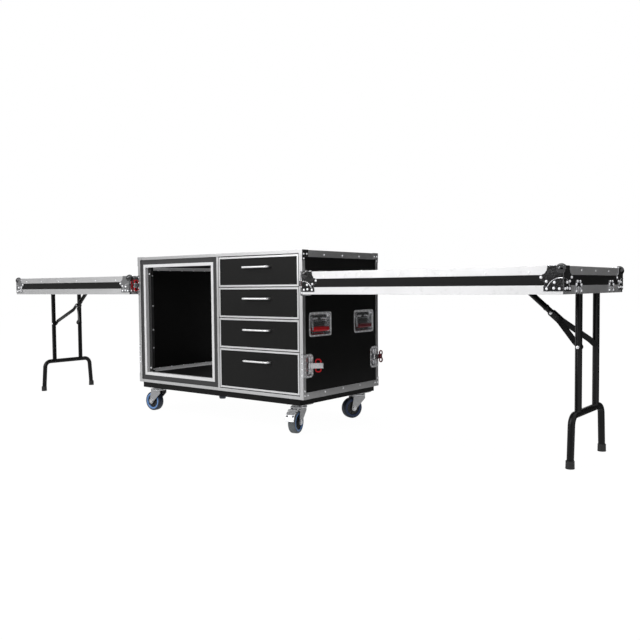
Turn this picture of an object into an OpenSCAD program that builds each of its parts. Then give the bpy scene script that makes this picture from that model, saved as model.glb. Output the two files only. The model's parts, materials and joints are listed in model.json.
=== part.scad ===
// Workstation flight case: a rack bay and four drawers on casters, with its
// two lids hung on the sides as tables, each on a folding leg.
// X runs along the front, the front faces -Y, Z is up and the floor is Z = 0.

/* [Case] */
// Width of the case along its front
case_w = 1113; // [1060:1:1200]
// Depth of the case from front to back
case_d = 576; // [520:1:640]
// Height units of the rack bay
rack_units = 12; // [11:1:16]
// Clear width between the rack frame's sides
rack_w = 490; // [484:1:510]
// Width of the foam band round the rack sleeve
band = 24; // [15:0.5:30]
// Thickness of the plywood boards
board_t = 10; // [8:0.5:12]

/* [Alloy profiles] */
// Sheet thickness of the alloy profiles
profile_t = 1.5; // [1:0.1:2]
// Leg of an upright profile on the front and back faces
edge_face = 18.5; // [17:0.5:24]
// Leg of an upright profile on the side faces
edge_side = 19; // [14:0.5:24]
// Leg of a level profile on the front and back faces
edge_head = 14.5; // [13.5:0.5:20]
// Leg of a level profile on the side, top and bottom faces
edge_run = 30; // [22:0.5:36]
// Width of the rack frame's face
frame_face = 15; // [12:0.5:20]
// Depth that the frame channels reach back over their boards
trim_return = 19; // [14:0.5:26]
// Sheet thickness of the riveted corner caps
cap_t = 1.2; // [0.8:0.1:2]
// Length of a corner cap's arms
cap_arm = 41; // [38:1:50]

/* [Rack] */
// Width of the rack rails' front flange
rail_face = 19; // [17:0.5:21]
// Sheet thickness of the rack rails
rail_t = 2; // [1.5:0.1:3]
// Depth of the rack rails along the sleeve
rail_d = 32; // [25:1:50]
// Diameter of the rack rails' holes
rail_hole_d = 6.5; // [5:0.1:7]
// Distance of the rows of rack holes from the rack box's walls
rail_hole_inset = 12.45; // [11:0.05:13]
// Leg of the angles along the rack box's inner edges
sleeve_leg = 15; // [10:0.5:18]

/* [Drawers] */
// Height of the three upper drawer fronts
drawer_h = 138; // [110:1:140]
// Gap above and below each drawer front
drawer_gap = 4; // [3:0.5:12]
// Gap beside each drawer front
drawer_side_gap = 3; // [2:0.5:5]
// Width of the alloy frame round each drawer front
drawer_frame = 8; // [6:0.5:16]
// Thickness of a drawer's front panel
drawer_front_t = 12; // [9:0.5:15]
// Gap between the drawers' boxes and the board behind them
drawer_back_gap = 43.2; // [35:0.1:120]
// Thickness of a drawer box's walls
drawer_wall_t = 9; // [6:0.5:12]
// Thickness of the moving slide member on a drawer
slide_t = 5.5; // [4:0.5:8]
// Height of the drawer slides
slide_h = 42; // [30:1:50]
// Width of a drawer pull between its legs' axes
pull_w = 156; // [100:1:180]
// Distance that a drawer pull's axis stands off the front
pull_reach = 23; // [20:0.5:35]
// Diameter of a drawer pull's bar
pull_d = 9; // [7:0.5:12]
// Height of a drawer pull's axis below the front's top edge
pull_drop = 50; // [35:1:55]

/* [Dishes] */
// Sheet thickness of the pressed dishes
dish_t = 2; // [1.6:0.1:2.4]
// Height of a latch dish
latch_dish_h = 104; // [100:1:120]
// Depth of a latch dish along the side face
latch_dish_w = 69; // [64:1:74]
// Width of a latch dish's lip on the front or back face
latch_wrap = 11; // [8:0.5:14]
// Distance of the latches' centres from the case's top and bottom
latch_inset = 145; // [110:1:170]
// Width of a handle dish along the case's depth
handle_w = 160; // [150:1:170]
// Height of a handle dish
handle_h = 108; // [104:1:120]
// Distance from the front edge to a handle dish
handle_inset = 42; // [30:1:70]
// Diameter of a handle's grip
grip_d = 20; // [16:0.5:24]

/* [Latches] */
// Distance from the case's edge to a latch arm's hinge axis
hinge_inset = 38; // [36:0.5:42]
// Distance that the hinge axis stands off the side face
hinge_out = 4; // [3.5:0.1:5]
// Width of a latch arm
arm_w = 24; // [18:0.5:28]
// Length that a closed arm reaches past the case's edge
arm_reach = 22; // [16:0.5:24]
// Thickness of a latch arm
arm_t = 3; // [2:0.1:4]
// Height of a butterfly knob across its wings
knob_h = 61; // [50:1:66]
// Thickness of a butterfly knob
knob_t = 9; // [6:0.5:9.5]
// Opening angle of the lower front latches at rest
latch_open = 135; // [90:1:140]

/* [Casters] */
// Height of a caster from the floor to the top of its plate
caster_h = 128; // [124:1:135]
// Diameter of the wheels
wheel_d = 100; // [90:1:100]
// Width of the wheels' tread
wheel_w = 36; // [28:0.5:40]
// Distance from a caster's swivel axis to its axle
trail = 36; // [30:1:42]
// Distance of the swivel axes from the case's side faces
caster_inset_x = 78; // [72:1:110]
// Distance of the swivel axes from the case's front and back faces
caster_inset_y = 63; // [60:1:90]
// Thickness of the board that carries the casters
caster_board_t = 27; // [18:1:30]
// Distance of that board's long edges inside the case's front and back faces
caster_board_inset = 4; // [0:1:20]
// Distance of that board's ends inside the case's side faces
caster_board_end = 24; // [0:1:25]
// Diameter of a caster's axle
axle_d = 10; // [8:0.5:12]

/* [Tables] */
// Height of the table tops above the floor
table_z = 706; // [690:1:715]
// Outer height of a lid, from its rim to its top
lid_t = 95; // [90:1:120]
// Gap between the case's side and a hung table
table_gap = 28; // [27:0.5:36]
// Distance of the hangers' middles from the case's front and back faces
hanger_inset = 98; // [96:1:160]
// Width of a hanger
hanger_w = 38; // [25:1:50]
// Diameter of the ball corners
ball_d = 38; // [34:0.5:42]
// Distance of a ball's centre inside the lid's faces
ball_inset = 10.5; // [9:0.5:14]
// Length of a ball corner's top flange along the lid's edges
ball_flange = 44; // [40:1:54]

/* [Legs] */
// Diameter of the legs' upper tubes
tube_d = 25; // [22:0.1:28]
// Diameter of the foot frame's tube
foot_tube_d = 25.4; // [22:0.1:28]
// Distance of the leg's pivot inside the table's outer end
leg_inset = 27.5; // [27:0.5:40]
// Depth of the leg's pivot below the table top
pivot_drop = 28; // [27.5:0.5:31]
// Distance between the upper tubes' axes
leg_pitch = 188; // [160:1:220]
// Distance between the feet's axes
foot_pitch = 344; // [280:1:400]
// Height of the foot frame's crossbar axis above the floor
crossbar_z = 183; // [120:1:220]
// Bend radius of the foot frame
bend_r = 34; // [28:1:50]
// Distance from the leg's pivot in to the brace's upper pivot
brace_in = 293; // [270:1:310]
// Distance from the leg's pivot down to the brace's lower pin
brace_drop = 257; // [230:1:265]
// Diameter of the brace's upper bar
link_d = 22; // [16:0.5:24]
// Thickness of the brace fork's flat bars
prong_t = 3; // [2:0.5:4]
// Width of the brace fork's flat bars
prong_w = 22; // [16:1:24]
// Height of the rubber foot caps
foot_cap_h = 28; // [20:1:40]
// Wall of the rubber foot caps
foot_cap_wall = 2.5; // [1.5:0.1:4]

/* [Hidden] */
$fn = 48;
eps = 1;
// Clearance between boards and profiles that meet
fit = 0.3;
// Gap between pieces that are riveted face to face
seam = 0.1;
// Radial clearance of a pin in its bore
pin_fit = 0.05;
// One height unit of a rack, and the play above and below the rack's units
rack_unit = 44.45;
rack_play = 6.6;

side_names = ["left", "right"];
corner_names = ["front_left", "front_right", "rear_left", "rear_right"];
corner_x = [-1, 1, -1, 1];
corner_y = [-1, -1, 1, 1];
level_names = ["low", "high"];
drawer_count = 4;

skin = profile_t;
inner = profile_t + board_t;
opening_h = rack_units * rack_unit + rack_play;
case_h = opening_h + 2 * (frame_face + band + edge_head);
case_z = caster_h + caster_board_t;
case_top = case_z + case_h;
case_mid = case_z + case_h / 2;
side_x = case_w / 2;
front_y = -case_d / 2;
back_y = case_d / 2;

rack_x0 = -side_x + edge_face + band + frame_face;
rack_x1 = rack_x0 + rack_w;
rack_mid = (rack_x0 + rack_x1) / 2;
rack_z0 = case_z + edge_head + band + frame_face;
rack_z1 = rack_z0 + opening_h;
sleeve_x0 = rack_x0 - frame_face;
sleeve_x1 = rack_x1 + frame_face;
sleeve_z0 = rack_z0 - frame_face;
sleeve_z1 = rack_z1 + frame_face;
sleeve_y = front_y + skin;
rail_y = sleeve_y + trim_return + fit;
foam_inset = 4;

divider_face = board_t + 2 * profile_t;
divider_x0 = sleeve_x1 + band;
divider_x1 = divider_x0 + divider_face;
bay_x0 = divider_x1;
bay_x1 = side_x - edge_face;
bay_z0 = case_z + edge_head;
bay_z1 = case_top - edge_head;
bay_back = back_y - trim_return - fit;

runner_t = edge_face - inner;
slide_stack = runner_t + fit + slide_t;
box_x0 = divider_x1 - skin + slide_stack;
box_x1 = side_x - inner - slide_stack;
drawer_bottom_h = bay_z1 - bay_z0 - 5 * drawer_gap - 3 * drawer_h;
box_y0 = front_y + profile_t + drawer_front_t;
box_y1 = bay_back - board_t - drawer_back_gap;
box_rise = 14;
box_drop = 26;
box_floor_t = 6;

latch_z = [case_z + latch_inset, case_top - latch_inset];
latch_pan_y = 22;
latch_pan_w = latch_dish_w - latch_pan_y - 9;
latch_pan_h = latch_dish_h - 22;
pan_t = 1.2;
pocket_x = inner - 1.2;
pan_floor = pocket_x - pan_t;
hinge_pin_r = 2.5;
hinge_eye_r = 5.2;
lug_t = 3;
knob_y = hinge_inset - 40;
stud_r = 3;
knob_lobe_r = 10;

handle_y = handle_inset + handle_w / 2;
handle_flange = 10;
handle_pivot_z = 22;
handle_pivot_x = 4;
grip_z = -22;
grip_x = pan_floor - grip_d / 2 - 2 * fit;
grip_len = 104;
bail_w = 9;
bail_t = 4;

axle_z = wheel_d / 2;
caster_plate_t = 3.5;
caster_plate = [105, 85];
plate_corner_r = 8;
plate_bolts = [80, 60];
plate_hole_r = 4.25;
race_t = 8;
race_r = 30;
king_r = 6;
crown_t = 6;
cheek_t = 3;
wheel_play = 3.5;
cheek_y = wheel_w / 2 + wheel_play;
caster_angles = [185.7, -74.3, 129, 246.3];
caster_brakes = [2, 1];
pedal_x = 32;
pedal_drop = 8;
pedal_stem = 24;
pedal_wide = cheek_y + cheek_t;
pedal_side = [[pedal_stem, -0.6], [pedal_stem, -3.6], [30, -4], [46, -14], [60, -24],
              [70, -46], [73, -45], [63, -22], [48, -11], [31, -1]];

crown_z = caster_h - caster_plate_t - race_t - fit;

lid_l = case_w;
lid_w = case_h;
table_x0 = side_x + table_gap;
table_x1 = table_x0 + lid_l;
rim_z = table_z - lid_t;
hanger_y = case_d / 2 - hanger_inset;
keeper_h = 48;
keeper_w = 66;
keeper_mouth = 36;
keeper_r = 14;
leaf_outline = [[54, 0], [56, 14], [64, 25], [76, 30], [82, 37], [78, 46],
                [68, 52], [62, 60], [67, 69], [67, lid_t - 10]];
hook_t = 4;
hanger_t = 3;
lip_gap = 2;
hook_z = table_z + 8;

leg_x = table_x1 - leg_inset;
pivot_z = table_z - pivot_drop;
leg_pin_r = 4;
tube_r = tube_d / 2;
foot_r = foot_tube_d / 2;
leg_cheek_t = 3;
leg_cheek_gap = 0.6;
brace_x = leg_x - brace_in;
brace_line = sqrt(pow(brace_in, 2) + pow(brace_drop, 2));
brace_angle = atan2(brace_drop, brace_in);
brace_shift = brace_in - brace_drop;
link_len = (brace_line + brace_shift) / 2;
fork_len = (brace_line - brace_shift) / 2;
brace_pin_r = 3;
ring_d = link_d + 3;
fork_gap = ring_d / 2 + 0.6;
fork_stem = 44;
prong_play = 2.3;
prong_y = leg_pitch / 2 - tube_r - prong_play - prong_t;

// Box between two opposite corners
module slab(low, high) {
    translate(low) cube(high - low);
}

// Mirrors its children along v where the flag is set
module flip(flag, v) {
    if (flag) mirror(v) children();
    else children();
}

// Flat outline in Y and Z, raised along X
module along_x(depth) {
    rotate([90, 0, 90]) linear_extrude(depth) children();
}

// Flat outline in X and Z, raised along Y and centred on Y = 0
module across_y(width) {
    rotate([90, 0, 0]) linear_extrude(width, center = true) children();
}

// Rod along Y, centred on the origin
module rod_y(radius, width) {
    rotate([90, 0, 0]) cylinder(r = radius, h = width, center = true);
}

module rounded(width, height, radius) {
    square([width - 2 * radius, height], center = true);
    square([width, height - 2 * radius], center = true);
    for (x = [-1, 1], y = [-1, 1])
        translate([x * (width / 2 - radius), y * (height / 2 - radius)]) circle(radius);
}

// Puts the origin on a corner of the case, with all three axes pointing inward
module at_corner(sx, sy, sz) {
    translate([sx * side_x, sy * case_d / 2, case_mid + sz * case_h / 2])
        flip(sx > 0, [1, 0, 0]) flip(sy > 0, [0, 1, 0]) flip(sz > 0, [0, 0, 1]) children();
}

// Puts the origin on an upright edge of the case, at a latch's height
module at_latch(corner, level) {
    translate([corner_x[corner] * side_x, corner_y[corner] * case_d / 2, latch_z[level]])
        flip(corner_x[corner] > 0, [1, 0, 0]) flip(corner_y[corner] > 0, [0, 1, 0]) children();
}

// Puts the origin on a side face, at a handle's centre
module at_handle(corner) {
    translate([corner_x[corner] * side_x,
               corner_y[corner] * (case_d / 2 - handle_y), case_mid])
        flip(corner_x[corner] > 0, [1, 0, 0]) children();
}

// Channel with its face in XZ, both legs reaching along +Y
module channel(face, len) {
    slab([0, 0, 0], [face, profile_t, len]);
    slab([0, 0, 0], [profile_t, trim_return, len]);
    slab([face - profile_t, 0, 0], [face, trim_return, len]);
}

module side_board() {
    difference() {
        slab([skin, skin, skin], [inner, case_d - skin, case_h - skin]);
        for (z = [latch_inset, case_h - latch_inset], far = [false, true])
            translate([0, far ? case_d : 0, z]) flip(far, [0, 1, 0])
                slab([0, latch_pan_y, -latch_pan_h / 2],
                     [pocket_x, latch_pan_y + latch_pan_w, latch_pan_h / 2]);
        for (far = [false, true])
            translate([0, far ? case_d - handle_y : handle_y, case_h / 2])
                slab([0, handle_flange - handle_w / 2, handle_flange - handle_h / 2],
                     [pocket_x, handle_w / 2 - handle_flange, handle_h / 2 - handle_flange]);
    }
}

module outer_boards() {
    color([0.08, 0.08, 0.085]) {
        for (sx = [-1, 1]) at_corner(sx, -1, -1) side_board();
        for (sz = [-1, 1]) at_corner(-1, -1, sz)
            slab([inner + fit, skin, skin], [case_w - inner - fit, case_d - skin, inner]);
    }
}

module inner_boards() {
    low = case_z + inner + fit;
    high = case_top - inner - fit;
    color([0.12, 0.12, 0.125]) {
        slab([divider_x0 + skin, front_y + skin, low], [divider_x1 - skin, back_y - skin, high]);
        slab([divider_x1 - skin + fit, bay_back - board_t, low],
             [side_x - inner - fit, bay_back, high]);
    }
}

// Four boards of the inner rack box, with an alloy channel over each open edge
module rack_sleeve() {
    lap = profile_t + seam;
    board_x0 = sleeve_x0 + lap;
    board_x1 = sleeve_x1 - lap;
    board_z0 = sleeve_z0 + lap;
    board_z1 = sleeve_z1 - lap;
    wall = frame_face - 2 * lap;
    y0 = sleeve_y + lap;
    y1 = -y0;
    color([0.09, 0.09, 0.095]) {
        slab([board_x0, y0, board_z0], [board_x0 + wall, y1, board_z1]);
        slab([board_x1 - wall, y0, board_z0], [board_x1, y1, board_z1]);
        slab([rack_x0 + seam, y0, board_z0], [rack_x1 - seam, y1, board_z0 + wall]);
        slab([rack_x0 + seam, y0, board_z1 - wall], [rack_x1 - seam, y1, board_z1]);
    }
    color([0.8, 0.8, 0.81])
    for (far = [false, true]) flip(far, [0, 1, 0]) {
        for (x = [sleeve_x0, rack_x1])
            translate([x, sleeve_y, sleeve_z0]) channel(frame_face, sleeve_z1 - sleeve_z0);
        for (z = [sleeve_z0, rack_z1])
            translate([rack_x1 - fit, sleeve_y, z]) rotate([0, -90, 0])
                channel(frame_face, rack_w - 2 * fit);
    }
    color([0.75, 0.75, 0.76])
    for (right = [false, true], up = [false, true])
        translate([rack_mid, 0, case_mid])
            flip(right, [1, 0, 0]) flip(up, [0, 0, 1])
            translate([-rack_w / 2, 0, -opening_h / 2]) sleeve_angle();
}

// Angle along an inner edge of the rack box, between the front and rear rails
module sleeve_angle() {
    low = [-profile_t, rail_y + rail_d + fit, -profile_t];
    slab(low, [sleeve_leg, -low.y, 0]);
    slab(low, [0, -low.y, sleeve_leg]);
}

// Four foam slabs that float the rack box in the case
module rack_foam() {
    y0 = front_y + foam_inset;
    x0 = -side_x + inner;
    color([0.05, 0.05, 0.05]) {
        for (x = [[x0, sleeve_x0], [sleeve_x1, divider_x0]])
            slab([x[0], y0, case_z + inner], [x[1], -y0, case_top - inner]);
        for (z = [[case_z + inner, sleeve_z0], [sleeve_z1, case_top - inner]])
            slab([sleeve_x0 + fit, y0, z[0]], [sleeve_x1 - fit, -y0, z[1]]);
    }
}

// Upright L-shaped rail for the rack's left side, its front flange in XZ
module rack_rail() {
    reach = rail_face + skin;
    hole_x = rail_hole_inset + skin;
    difference() {
        union() {
            slab([0, 0, 0], [reach, rail_t, opening_h]);
            slab([0, 0, 0], [rail_t, rail_d, opening_h]);
        }
        for (u = [0:rack_units - 1], step = [6.35, 22.225, 38.1])
            translate([hole_x, rail_t / 2, rack_play / 2 + u * rack_unit + step])
                rod_y(rail_hole_d / 2, rail_t + 2 * eps);
    }
}

module rack_rails() {
    color([0.12, 0.12, 0.13])
    for (far = [false, true], right = [false, true])
        flip(far, [0, 1, 0]) translate([rack_mid, 0, 0]) flip(right, [1, 0, 0])
            translate([rack_x0 - skin - rack_mid, rail_y, rack_z0]) rack_rail();
}

module upright_profile() {
    difference() {
        union() {
            slab([0, 0, edge_head + fit], [edge_face, profile_t, case_h - edge_head - fit]);
            slab([0, 0, edge_run + fit], [profile_t, edge_side, case_h - edge_run - fit]);
        }
        for (z = [latch_inset, case_h - latch_inset])
            slab([-eps, -eps, z - latch_dish_h / 2 - fit],
                 [latch_wrap + fit, edge_side + eps, z + latch_dish_h / 2 + fit]);
    }
}

module edge_profiles() {
    color([0.8, 0.8, 0.81]) {
        for (sx = [-1, 1], sy = [-1, 1]) at_corner(sx, sy, -1) upright_profile();
        for (sx = [-1, 1], sz = [-1, 1]) at_corner(sx, -1, sz) {
            slab([0, profile_t + fit, 0], [profile_t, case_d - profile_t - fit, edge_run]);
            slab([0, profile_t + fit, 0], [edge_run, case_d - profile_t - fit, profile_t]);
        }
        for (sy = [-1, 1], sz = [-1, 1]) at_corner(-1, sy, sz) {
            slab([0, 0, 0], [case_w, profile_t, edge_head]);
            slab([edge_run + fit, 0, 0], [case_w - edge_run - fit, edge_run, profile_t]);
        }
        for (far = [false, true]) flip(far, [0, 1, 0])
            translate([divider_x0, front_y, bay_z0 + fit])
                channel(divider_face, bay_z1 - bay_z0 - 2 * fit);
    }
}

// Riveted cap on a corner: L-shaped plates on the side and top, a small one in front
module corner_cap(has_top) {
    c = -cap_t;
    slab([c, c, 0], [0, cap_arm, edge_run]);
    slab([c, c, 0], [0, edge_side, cap_arm + 4]);
    slab([c, c, 0], [edge_run, 0, edge_head]);
    slab([c, c, 0], [edge_face, 0, edge_run]);
    if (has_top) {
        slab([c, c, c], [cap_arm, edge_run, 0]);
        slab([c, c, c], [edge_run, cap_arm, 0]);
    }
}

module corner_caps() {
    color([0.86, 0.86, 0.87])
    for (sx = [-1, 1], sy = [-1, 1], sz = [-1, 1])
        at_corner(sx, sy, sz) corner_cap(sz > 0);
}

// Pressed pan let into a board's pocket
module pan(y0, y1, z0, z1) {
    difference() {
        slab([skin, y0, z0], [pocket_x, y1, z1]);
        slab([skin - eps, y0 + pan_t, z0 + pan_t], [pan_floor, y1 - pan_t, z1 - pan_t]);
    }
}

// Latch dish that wraps the case's edge, with the hinge lugs and pin of its arm
module latch_dish() {
    half = latch_pan_h / 2;
    radius = 20;
    translate([skin - dish_t, 0, 0]) along_x(dish_t) difference() {
        union() {
            translate([latch_dish_w / 2, 0]) rounded(latch_dish_w, latch_dish_h, radius);
            translate([skin - dish_t, -latch_dish_h / 2]) square([radius + 5, latch_dish_h]);
        }
        translate([latch_pan_y + pan_t, pan_t - half])
            square([latch_pan_w - 2 * pan_t, 2 * (half - pan_t)]);
    }
    slab([skin - dish_t, skin - dish_t, -latch_dish_h / 2],
         [latch_wrap, skin, latch_dish_h / 2]);
    pan(latch_pan_y, latch_pan_y + latch_pan_w, -half, half);
    for (s = [-1, 1]) translate([0, 0, s * (arm_w / 2 + fit + lug_t / 2)])
        slab([-hinge_out - hinge_eye_r + 1, hinge_inset - 4, -lug_t / 2],
             [pocket_x - pan_t / 2, hinge_inset + 4, lug_t / 2]);
    translate([-hinge_out, hinge_inset, 0])
        cylinder(r = hinge_pin_r, h = arm_w + 2 * fit + 2 * lug_t, center = true);
}

// Handle dish with its spring plate, and the lugs and pins that carry the bail
module handle_dish() {
    half_w = handle_w / 2 - handle_flange;
    half_h = handle_h / 2 - handle_flange;
    lug_y = grip_len / 2 + bail_t + fit;
    translate([skin - dish_t, 0, 0]) along_x(dish_t) difference() {
        rounded(handle_w, handle_h, 14);
        square([2 * (half_w - pan_t), 2 * (half_h - pan_t)], center = true);
    }
    pan(-half_w, half_w, -half_h, half_h);
    slab([pan_floor - 3, -40, -2], [pocket_x - pan_t / 2, 40, half_h - 3]);
    for (s = [-1, 1]) flip(s < 0, [0, 1, 0]) {
        slab([handle_pivot_x - 4, lug_y, handle_pivot_z - 5],
             [pocket_x - pan_t / 2, lug_y + lug_t, handle_pivot_z + 5]);
        translate([handle_pivot_x, lug_y - bail_t / 2, handle_pivot_z])
            rod_y(hinge_pin_r, bail_t + 2 * fit + 2);
    }
}

module recess_dishes() {
    color([0.78, 0.78, 0.79]) {
        for (c = [0:3], l = [0:1]) at_latch(c, l) latch_dish();
        for (c = [0:3]) at_handle(c) handle_dish();
    }
}

// Bail with its sleeved grip, turning on the dish's pins
module handle_grip() {
    reach = handle_pivot_z - grip_z;
    color([0.75, 0.02, 0.06]) translate([grip_x, 0, grip_z]) rod_y(grip_d / 2, grip_len);
    color([0.7, 0.7, 0.72])
    for (s = [-1, 1]) translate([0, s * (grip_len + bail_t) / 2, 0]) difference() {
        union() {
            translate([handle_pivot_x, 0, handle_pivot_z]) rod_y(bail_w / 2, bail_t);
            translate([grip_x, 0, grip_z]) rod_y(bail_w / 2, bail_t);
            across_y(bail_t) polygon([[handle_pivot_x - bail_w / 2, handle_pivot_z],
                                      [handle_pivot_x + bail_w / 2, handle_pivot_z],
                                      [grip_x + bail_w / 2, grip_z],
                                      [grip_x - bail_w / 2, grip_z]]);
        }
        translate([handle_pivot_x, 0, handle_pivot_z])
            rod_y(hinge_pin_r + pin_fit, bail_t + 2 * eps);
    }
}

// Arm of a closed latch, with its hook and the knob's stud
module latch_arm() {
    outer_x = -hinge_out - hinge_eye_r;
    color([0.75, 0.75, 0.76]) {
        difference() {
            union() {
                translate([-hinge_out, hinge_inset, 0])
                    cylinder(r = hinge_eye_r, h = arm_w, center = true);
                slab([outer_x, -arm_reach, -arm_w / 2],
                     [outer_x + arm_t, hinge_inset, arm_w / 2]);
                slab([outer_x, -arm_reach, -arm_w / 2], [0, arm_t - arm_reach, arm_w / 2]);
            }
            translate([-hinge_out, hinge_inset, 0])
                cylinder(r = hinge_pin_r + pin_fit, h = arm_w + 2 * eps, center = true);
        }
        translate([outer_x + eps, knob_y, 0]) rotate([0, -90, 0])
            cylinder(r = stud_r, h = knob_t - 1 + eps);
    }
}

// Butterfly knob of a closed latch: a hub with a wing above and below
module latch_knob() {
    outer_x = -hinge_out - hinge_eye_r - fit;
    color([0.78, 0.02, 0.05])
    translate([outer_x, knob_y, 0]) rotate([0, -90, 0]) difference() {
        union() {
            cylinder(r = knob_lobe_r - 2, h = knob_t);
            for (s = [-1, 1]) {
                translate([s * (knob_h / 2 - knob_lobe_r), 0, 1.5])
                    cylinder(r = knob_lobe_r, h = knob_t - 3);
                translate([s * (knob_h / 2 - knob_lobe_r) / 2, 0, knob_t / 2])
                    cube([knob_h / 2 - knob_lobe_r, 13, knob_t - 3], center = true);
            }
        }
        translate([0, 0, -eps]) cylinder(r = stud_r + pin_fit, h = knob_t + 2 * eps);
    }
}

// Turns a latch's moving pieces open about their hinge
module latch_pose(angle) {
    translate([-hinge_out, hinge_inset, 0]) rotate([0, 0, -angle])
        translate([hinge_out, -hinge_inset, 0]) children();
}

function rest_angle(corner, level) = corner_y[corner] < 0 && level == 0 ? latch_open : 0;

function drawer_top(i) = bay_z1 - drawer_gap - (i - 1) * (drawer_h + drawer_gap);
function drawer_height(i) = i == drawer_count ? drawer_bottom_h : drawer_h;
function drawer_base(i) = drawer_top(i) - drawer_height(i);
function slide_z(i) = drawer_base(i) + drawer_height(i) / 2;

module drawer_runners() {
    y0 = front_y + trim_return + fit;
    color([0.6, 0.6, 0.62])
    for (i = [1:drawer_count]) {
        z = slide_z(i) - slide_h / 2;
        slab([divider_x1 - skin, y0, z], [divider_x1 - skin + runner_t, box_y1, z + slide_h]);
        slab([side_x - inner - runner_t, y0, z], [side_x - inner, box_y1, z + slide_h]);
    }
}

// Drawer with its front panel, four walls, floor and moving slide members
module drawer_box(i) {
    front_x0 = bay_x0 + drawer_side_gap;
    front_x1 = bay_x1 - drawer_side_gap;
    low = drawer_base(i) + box_rise;
    high = drawer_top(i) - box_drop;
    y1 = box_y1;
    w = drawer_wall_t;
    z = slide_z(i) - slide_h / 2;
    slide_y = front_y + trim_return + fit;
    color([0.1, 0.1, 0.105]) {
        slab([front_x0, front_y + profile_t, drawer_base(i)],
             [front_x1, box_y0, drawer_top(i)]);
        slab([box_x0, box_y0 + fit, low], [box_x0 + w, y1, high]);
        slab([box_x1 - w, box_y0 + fit, low], [box_x1, y1, high]);
        slab([box_x0 + w + fit, y1 - w, low], [box_x1 - w - fit, y1, high]);
        slab([box_x0 + w + fit, box_y0 + fit, low],
             [box_x1 - w - fit, y1 - w - fit, low + box_floor_t]);
    }
    color([0.6, 0.6, 0.62]) {
        slab([box_x0 - slide_t, slide_y, z + 3], [box_x0 - fit, y1, z + slide_h - 3]);
        slab([box_x1 + fit, slide_y, z + 3], [box_x1 + slide_t, y1, z + slide_h - 3]);
    }
}

// Bow pull: a bar with two bent legs, in XY
module bow_pull() {
    r = pull_d / 2;
    bend = pull_reach * 0.6;
    half = pull_w / 2;
    translate([bend - half, -pull_reach, 0]) rotate([0, 90, 0])
        cylinder(r = r, h = pull_w - 2 * bend);
    for (s = [-1, 1]) flip(s > 0, [1, 0, 0]) translate([-half, 0, 0]) {
        translate([0, bend - pull_reach, 0]) rotate([-90, 0, 0])
            cylinder(r = r, h = pull_reach - bend);
        translate([bend, bend - pull_reach, 0]) rotate([0, 0, 180])
            rotate_extrude(angle = 90) translate([bend, 0]) circle(r);
    }
}

module drawer_trim(i) {
    x0 = bay_x0 + drawer_side_gap;
    x1 = bay_x1 - drawer_side_gap;
    z0 = drawer_base(i);
    z1 = drawer_top(i);
    f = drawer_frame;
    color([0.82, 0.82, 0.83]) {
        difference() {
            slab([x0, front_y, z0], [x1, front_y + profile_t, z1]);
            slab([x0 + f, front_y - eps, z0 + f], [x1 - f, front_y + profile_t + eps, z1 - f]);
        }
        translate([(x0 + x1) / 2, front_y + profile_t, z1 - pull_drop]) bow_pull();
    }
}

module caster_board() {
    x = side_x - caster_board_end;
    y = case_d / 2 - caster_board_inset;
    color([0.1, 0.1, 0.1]) slab([-x, -y, caster_h], [x, y, case_z]);
}

// Puts the origin on the floor under a caster's swivel axis, at its rest angle
module at_caster(corner, turned) {
    translate([corner_x[corner] * (side_x - caster_inset_x),
               corner_y[corner] * (case_d / 2 - caster_inset_y), 0])
        rotate([0, 0, turned ? caster_angles[corner] : 0]) children();
}

module caster_plates() {
    top = caster_h;
    color([0.72, 0.73, 0.74])
    for (c = [0:3]) at_caster(c, false) {
        translate([0, 0, top - caster_plate_t]) difference() {
            linear_extrude(caster_plate_t)
                rounded(caster_plate.x, caster_plate.y, plate_corner_r);
            for (x = [-1, 1], y = [-1, 1])
                translate([x * plate_bolts.x / 2, y * plate_bolts.y / 2, -eps])
                    cylinder(r = plate_hole_r, h = caster_plate_t + 2 * eps);
        }
        translate([0, 0, top - caster_plate_t - race_t]) cylinder(r = race_r, h = race_t);
        translate([0, 0, crown_z - crown_t - 2]) cylinder(r = king_r, h = crown_t + 2 + race_t);
    }
}

// Caster fork with its axle, trailing along +X
module caster_fork() {
    cheek_top = crown_z;
    half = cheek_y + cheek_t;
    color([0.7, 0.71, 0.72]) {
        difference() {
            union() {
                translate([0, 0, crown_z - crown_t]) cylinder(r = race_r + 3, h = crown_t);
                slab([-26, -half, crown_z - crown_t], [race_r + 8, half, crown_z]);
                for (s = [-1, 1]) translate([0, s * (cheek_y + cheek_t / 2), 0]) {
                    across_y(cheek_t) polygon([[-26, cheek_top], [race_r + 8, cheek_top],
                                               [race_r + 8, cheek_top - 14],
                                               [trail + 11, axle_z + 4], [trail - 11, axle_z - 4],
                                               [-26, cheek_top - 22]]);
                    translate([trail, 0, axle_z]) rod_y(12, cheek_t);
                }
            }
            translate([0, 0, crown_z - crown_t - eps])
                cylinder(r = king_r + pin_fit, h = crown_t + 2 * eps);
            translate([pedal_x, 0, crown_z - crown_t - pedal_drop / 2])
                rod_y(hinge_pin_r, 2 * half + 2 * eps);
        }
        translate([trail, 0, axle_z]) rod_y(axle_d / 2, 2 * half + 10);
    }
}

module caster_wheel() {
    r = wheel_d / 2;
    w = wheel_w / 2;
    hub = axle_d / 2 + pin_fit;
    color([0.1, 0.2, 0.5])
    translate([trail, 0, axle_z]) rotate([90, 0, 0]) rotate_extrude()
        polygon([[hub, -w - 2.5], [hub + 9, -w - 2.5], [hub + 9, -w + 5], [r - 16, -w + 5],
                 [r - 14, -w], [r - 7, -w], [r, -w + 6], [r, w - 6], [r - 7, w], [r - 14, w],
                 [r - 16, w - 5], [hub + 9, w - 5], [hub + 9, w + 2.5], [hub, w + 2.5]]);
}

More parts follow.
